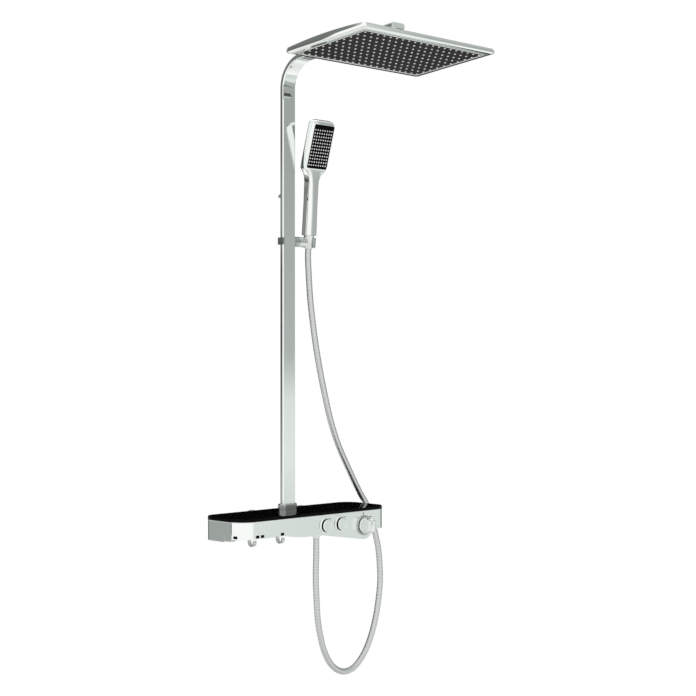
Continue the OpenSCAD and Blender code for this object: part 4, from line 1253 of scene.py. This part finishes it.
@dataclass
class HandShower:
    """The hand shower: a chromed shell that runs from its foot into a flat spray plate.

    Each section, in millimetres, gives how far it lies forward and up from the foot, its lean in
    degrees, its width and its depth.
    """

    sections: tuple[tuple[float, float, float, float, float], ...] = (
        (1.2, 16.8, 4.0, 31.0, 28.0), (3.2, 46.0, 4.0, 30.4, 27.6), (5.4, 78.0, 4.0, 29.6, 27.0),
        (7.4, 108.0, 4.0, 29.0, 26.5), (9.2, 134.0, 5.0, 28.6, 26.0), (10.2, 145.0, 7.0, 31.0, 25.6),
        (11.3, 153.0, 10.0, 37.0, 25.2), (12.6, 160.0, 13.0, 48.0, 24.8), (13.9, 166.0, 15.0, 61.0, 24.4),
        (15.6, 172.5, 16.35, 67.0, 24.0), (28.5, 216.5, 16.35, 68.0, 24.0), (42.2, 263.0, 16.35, 68.0, 24.0),
        (43.8, 268.5, 16.35, 66.0, 23.0), (45.0, 272.6, 16.35, 61.0, 21.0), (45.8, 275.5, 16.35, 53.0, 17.0),
        (46.2, 276.8, 16.35, 44.0, 10.0),
    )
    handle_power: float = 0.62
    plate_power: float = 0.42
    power_from: float = 150.0
    power_reach: float = 60.0
    around: int = 96
    plate_size: Pair = (0.061, 0.100)
    plate_edge: float = 0.00015
    recess_size: Pair = (0.0616, 0.1006)
    recess_corner: float = 0.0043
    recess_depth: Pair = (-0.0048, 0.02)
    bore_foot: float = -0.01
    bores: tuple[Pair, ...] = ((0.00905, 0.034), (0.0073, 0.056))
    rim_corner: float = 0.004
    rim_section: Profile = (
        (0.0003, -0.001), (0.0003, 0.0003), (0.0007, 0.0006), (0.0013, 0.0003), (0.0015, -0.001),
    )
    hose_clearance: float = 0.0072
    mat: NozzleMat = NozzleMat(8, 12, (0.0073, 0.0073), radius=0.001, skirt=1.8, sides=12, tip=0.0006,
                               foot=-0.003, back=-0.0045, size=(0.060, 0.099), corner=0.004, shift=-0.0025)

    def build(self) -> None:
        """Builds and dresses the hand shower."""
        middle = PLATE_PLACE @ Matrix.Translation((0, self.plate_size[1] / 2, 0))
        outline = rounded_rectangle(*self.recess_size, self.recess_corner)
        hollows = [plate(outline, *self.recess_depth, middle)]
        for radius, top in self.bores:
            bore = [(0.0, self.bore_foot), (radius, self.bore_foot), (radius, top), (0.0, top)]
            hollows.append(lathe(bore, GRIP_PLACE, 48))
        shell = cut(self.shell(), hollows)
        add_piece("hand_shell", shell, PLATED, Body.HANDSET, ["handset_body"], crease=40)
        rim = band(self.rim_section, self.plate_size, self.rim_corner, middle)
        add_piece("hand_plate_rim", rim, PLATED, Body.HANDSET)
        eased("handset_face", "hand_plate", self.plate_edge, BLACK_FACE_AND_PAINTED_SHADE, Body.HANDSET, segments=1)
        nozzles = self.mat.form(middle)
        add_piece("hand_nozzles", nozzles, WHITE_SILICONE, Body.HANDSET, ["handset_nozzles"], crease=50)
        self.foot()

    def shell(self) -> bpy.types.Mesh:
        """The closed outer form, before its hollows are cut."""
        foot_x, foot_y, foot_z = GRIP_FOOT
        rings = []
        for forward, up, lean, width, depth in smooth_between(self.sections, 5):
            c, s = math.cos(math.radians(lean)), math.sin(math.radians(lean))
            share = min(1.0, max(0.0, (self.power_from - up) / self.power_reach))
            power = self.plate_power + (self.handle_power - self.plate_power) * share
            ring = []
            for x, y in oval(width, depth, power, self.around):
                ring.append((foot_x + x * MM, foot_y + (y * c - forward) * MM, foot_z + (up + y * s) * MM))
            rings.append(ring)
        return loft(rings)

    def foot(self) -> None:
        """The chromed cone, the brass inlet and the washer below the handle, open for the hose."""
        clear = self.hose_clearance
        cone = [(clear, -0.014), (0.0078, -0.014), (0.0081, -0.0136), (0.0119, 0.0145), (0.0122, 0.0152),
                (0.0122, 0.0162), (0.0118, 0.0166), (0.0106, 0.0166), (0.0106, 0.0066), (clear, 0.0066)]
        inlet = [(clear, 0.0087), (0.0103, 0.0087), (0.0103, 0.0167), (0.0090, 0.0169), (0.0090, 0.0335),
                 (clear, 0.0335)]
        washer = [(clear, 0.0068), (0.0098, 0.0068), (0.0098, 0.0085), (clear, 0.0085)]
        for name, section, steps, finish, node in (
            ("cone_nut", cone, 72, PAINTED_SHADE_CHROME, "hose_cone"),
            ("inlet_thread", inlet, 48, BRASS, "handset_inlet"),
            ("cone_seal", washer, 48, BLACK_RUBBER, "cone_washer"),
        ):
            add_piece(name, lathe(section, GRIP_PLACE, steps, closed=True), finish, Body.HANDSET, [node])


@dataclass
class SliderHolder:
    """The slider on the riser and the holder that turns on it."""

    soft_edge: float = 0.0007

    def build(self) -> None:
        """Builds and dresses the slider and the holder."""
        eased("slider_body", "slider", self.soft_edge, SHADED, Body.SLIDER)
        eased("holder_ring", "holder", self.soft_edge, PAINTED_SHADE_CHROME, Body.HOLDER)


@dataclass
class WallInlets:
    """The roses and the nuts that join the shelf to the wall."""

    soft_edge: float = 0.0005

    def build(self) -> None:
        """Builds and dresses the inlets."""
        eased("wall_roses", "roses", self.soft_edge)
        eased("union_nuts", "inlet_nuts", self.soft_edge)


CAD_FINISHES: dict[Finish, tuple[str, ...]] = {
    STEEL: ("chassis", "rail_screws"),
    BRASS: ("valve_body", "inlet_unions", "thermostat_cartridge", "push_cartridges", "riser_socket",
            "handset_inlet"),
    GREY_PLASTIC: ("check_valves", "stop_ring", "swivel_seat"),
    GLASS: ("glass_shelf",),
    FACE_BLACK: ("head_face",),
    BLACK_PLASTIC: ("handset_face", "slider_pad", "safety_button"),
    WHITE_SILICONE: ("head_nozzles", "handset_nozzles"),
    BLACK_RUBBER: ("glass_gasket", "inlet_washers", "riser_seal", "cone_washer", "nut_washer"),
    PLATED: ("handset_body",),
    SLEEVE: ("hose",),
}


def dress_cad() -> None:
    """Gives every CAD node its finish, and chrome to those that none of the finishes names."""
    finish_of = {node: finish for finish, nodes in CAD_FINISHES.items() for node in nodes}
    for name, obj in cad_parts.items():
        material = finish_of.get(name, CHROME).material()
        if not obj.material_slots:
            obj.data.materials.append(material)
        for slot in obj.material_slots:
            slot.material = material


@dataclass
class Studio:
    """The camera, the world, the lamps, the floor and the cards that the chrome reflects.

    A card's levels give its brightness at each height.
    """

    eye: Point = (-2.38, -2.6265, 0.3918)
    heading: float = -44.86
    lens: float = 80.0
    middle: Point = (0.0, -0.12, 0.4)
    world_light: float = 0.75
    world_gloss: float = 1.06
    key_place: Point = (-1.9, -2.3, 2.4)
    key_power: float = 22.0
    fill_place: Point = (2.4, -1.9, 1.2)
    fill_share: float = 0.35
    lamp_size: float = 1.6
    floor_height: float = -1.10
    floor_depth: float = 0.01
    floor_width: float = 5.4
    floor_corner: float = 2.69
    floor_tones: Pair = (0.84, 0.87)
    floor_fade: Pair = (0.5, 2.5)
    card_distance: float = 3.0
    card_foot: float = -1.0
    tint: Colour = (0.84, 0.89, 0.86)
    right: Pair = (0.705, -0.709)
    right_levels: Profile = (
        (-0.7, 0.84), (-0.24, 0.88), (-0.08, 0.98), (0.17, 0.92), (0.36, 0.56), (0.8, 0.52), (1.3, 0.45),
        (1.75, 0.5), (2.2, 0.72),
    )
    left: Pair = (-0.705, 0.709)
    left_levels: Profile = (
        (-0.6, 0.46), (-0.2, 0.44), (0.1, 0.24), (0.4, 0.09), (0.72, 0.1), (0.9, 0.3), (1.05, 0.3),
        (1.25, 0.14), (1.8, 0.25),
    )
    flag: Pair = (-0.78, 0.62)
    flag_levels: Profile = ((-0.6, 0.03), (0.1, 0.03))
    flag_top: float = 0.15
    back: Pair = (0.705, 0.709)
    back_levels: Profile = (
        (-0.8, 0.06), (0.1, 0.05), (0.22, 0.004), (0.5, 0.004), (0.75, 0.05), (1.3, 0.06), (1.8, 0.22),
        (4.0, 0.3),
    )
    behind_levels: Profile = (
        (-0.8, 0.8), (-0.4, 0.75), (-0.1, 0.42), (0.1, 0.3), (0.22, 0.004), (0.5, 0.004), (0.75, 0.06),
        (2.4, 0.08), (4.0, 0.2),
    )

    def build(self) -> None:
        """Builds the studio."""
        self.camera()
        self.world()
        self.lamp("key", self.key_place, self.key_power)
        self.lamp("fill", self.fill_place, self.key_power * self.fill_share)
        self.floor()
        self.card("card_right", self.right, reach=(-3.0, 1.5), levels=self.right_levels, fade=(0.0, 1.35))
        self.card("card_left", self.left, reach=(-0.45, 3.0), levels=self.left_levels, fade=(0.06, 0.0))
        self.card("flag", self.flag, reach=(-0.16, 0.16), levels=self.flag_levels, fade=(0.03, 0.03),
                  top=self.flag_top)
        self.card("card_back_left", self.back, reach=(-3.0, -0.3), levels=self.back_levels)
        self.card("card_back_right", self.back, reach=(0.9, 3.0), levels=self.back_levels)
        self.card("card_behind", self.back, reach=(-0.3, 0.9), levels=self.behind_levels)

    def camera(self) -> None:
        """The camera at the photograph's viewing angle."""
        data = bpy.data.cameras.new("camera")
        data.lens = self.lens
        camera = scratch(data, "camera")
        camera.location = self.eye
        camera.rotation_euler = (math.radians(90), 0, math.radians(self.heading))
        bpy.context.scene.camera = camera

    def world(self) -> None:
        """White to the camera and to gloss, and a plain level of light on the object."""
        world = bpy.data.worlds.new("studio")
        bpy.context.scene.world = world
        world.use_nodes = True
        tree = Nodes(world.node_tree)
        world.node_tree.nodes.clear()
        path = tree.add("ShaderNodeLightPath")
        seen = path["Is Camera Ray"].at_least(path["Is Transmission Ray"])
        glossy = path["Is Glossy Ray"]
        plain = seen.at_least(glossy) < 0.5
        strength = seen + glossy * self.world_gloss + plain * self.world_light
        sky = tree.add("ShaderNodeBackground", None, {"Color": (1, 1, 1, 1), "Strength": strength})
        tree.add("ShaderNodeOutputWorld", None, {0: sky[0]})

    def lamp(self, name: str, place: Point, power: float) -> None:
        """Adds a soft lamp that looks at the object.

        Args:
            name: Its name.
            place: Where it stands.
            power: Its power in watts.
        """
        data = bpy.data.lights.new(name, "AREA")
        data.energy = power
        data.size = self.lamp_size
        lamp = scratch(data, name)
        lamp.location = place
        lamp.rotation_euler = (Vector(self.middle) - Vector(place)).to_track_quat("-Z", "Y").to_euler()
        lamp.visible_glossy = False

    def floor(self) -> None:
        """A plain pale floor, below the camera's view, that runs out into the white of the world."""
        surface = Surface("pale_floor")
        cloud = surface.noise(3.0, 3.0)
        darker, paler = [(tone, tone, tone) for tone in self.floor_tones]
        surface.set(Base_Color=surface.blend(cloud, darker, paler), Roughness=0.8)
        x, y, _ = surface.split()
        near, far = self.floor_fade
        share = ((x * x + y * y - near * near) / (far * far - near * near)).at_least(0.0).at_most(1.0)
        lit = Signal(surface, surface.shader.outputs[0])
        white = surface.glow((1.0, 1.0, 1.0))
        surface.show(surface.add("ShaderNodeMixShader", None, {0: share, 1: lit, 2: white})[0])
        outline = rounded_rectangle(self.floor_width, self.floor_width, self.floor_corner, 16)
        mesh = plate(outline, self.floor_height - self.floor_depth, self.floor_height, Matrix())
        mesh.materials.append(surface.material)
        scratch(mesh, "floor")

    def card(
        self,
        name: str,
        toward: Pair,
        reach: Pair,
        levels: Profile,
        fade: Pair = (0.0, 0.0),
        top: float = 4.0,
    ) -> None:
        """Adds an upright card that only gloss sees.

        Args:
            name: Its name.
            toward: Its direction from the object, in plan.
            reach: Its left and right ends, as seen from the object.
            levels: Its brightness at each height, from the floor up.
            fade: How far in from each end it comes up from the white of the world.
            top: Height of its upper edge.
        """
        surface = Surface(name)
        x, y, height = surface.split()
        centre = Vector((*toward, 0)).normalized() * self.card_distance + Vector(self.middle)
        side = Vector((toward[1], -toward[0], 0)).normalized()
        along = (x - centre.x) * side.x + (y - centre.y) * side.y
        low, high = levels[0][0], levels[-1][0]
        stops = [((z - low) / (high - low), tuple(c * v for c in self.tint)) for z, v in levels]
        colour = surface.add("ShaderNodeValToRGB", {"stops": stops}, {0: (height - low) / (high - low)})[0]
        for end, width, way in ((reach[0], fade[0], 1.0), (reach[1], fade[1], -1.0)):
            if width > 0:
                amount = ((along - end) * (way / width)).at_least(0.0).at_most(1.0)
                colour = surface.blend(amount, (self.world_gloss,) * 3, colour)
        surface.show(surface.glow(colour))
        bm = bmesh.new()
        foot = self.card_foot
        corners = ((reach[0], foot), (reach[1], foot), (reach[1], top), (reach[0], top))
        bm.faces.new([bm.verts.new((centre.x + a * side.x, centre.y + a * side.y, z)) for a, z in corners])
        mesh = mesh_of(bm)
        mesh.materials.append(surface.material)
        card = scratch(mesh, name)
        card.visible_camera = False
        card.visible_diffuse = False
        card.visible_shadow = False
        card.visible_transmission = False


def main() -> None:
    """Builds the studio, the hose and each sub-assembly."""
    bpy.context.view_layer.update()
    bpy.context.scene.view_settings.view_transform = "Standard"
    dress_cad()
    Studio().build()
    for part in (Hose, WallShelf, TemperatureKnob, PushButtons, Riser, OverheadShower, HandShower,
                 SliderHolder, WallInlets):
        log.info("building %s", part.__name__)
        part().build()


if __name__ == "__main__":
    logging.basicConfig(level=logging.INFO, format="%(message)s")
    main()
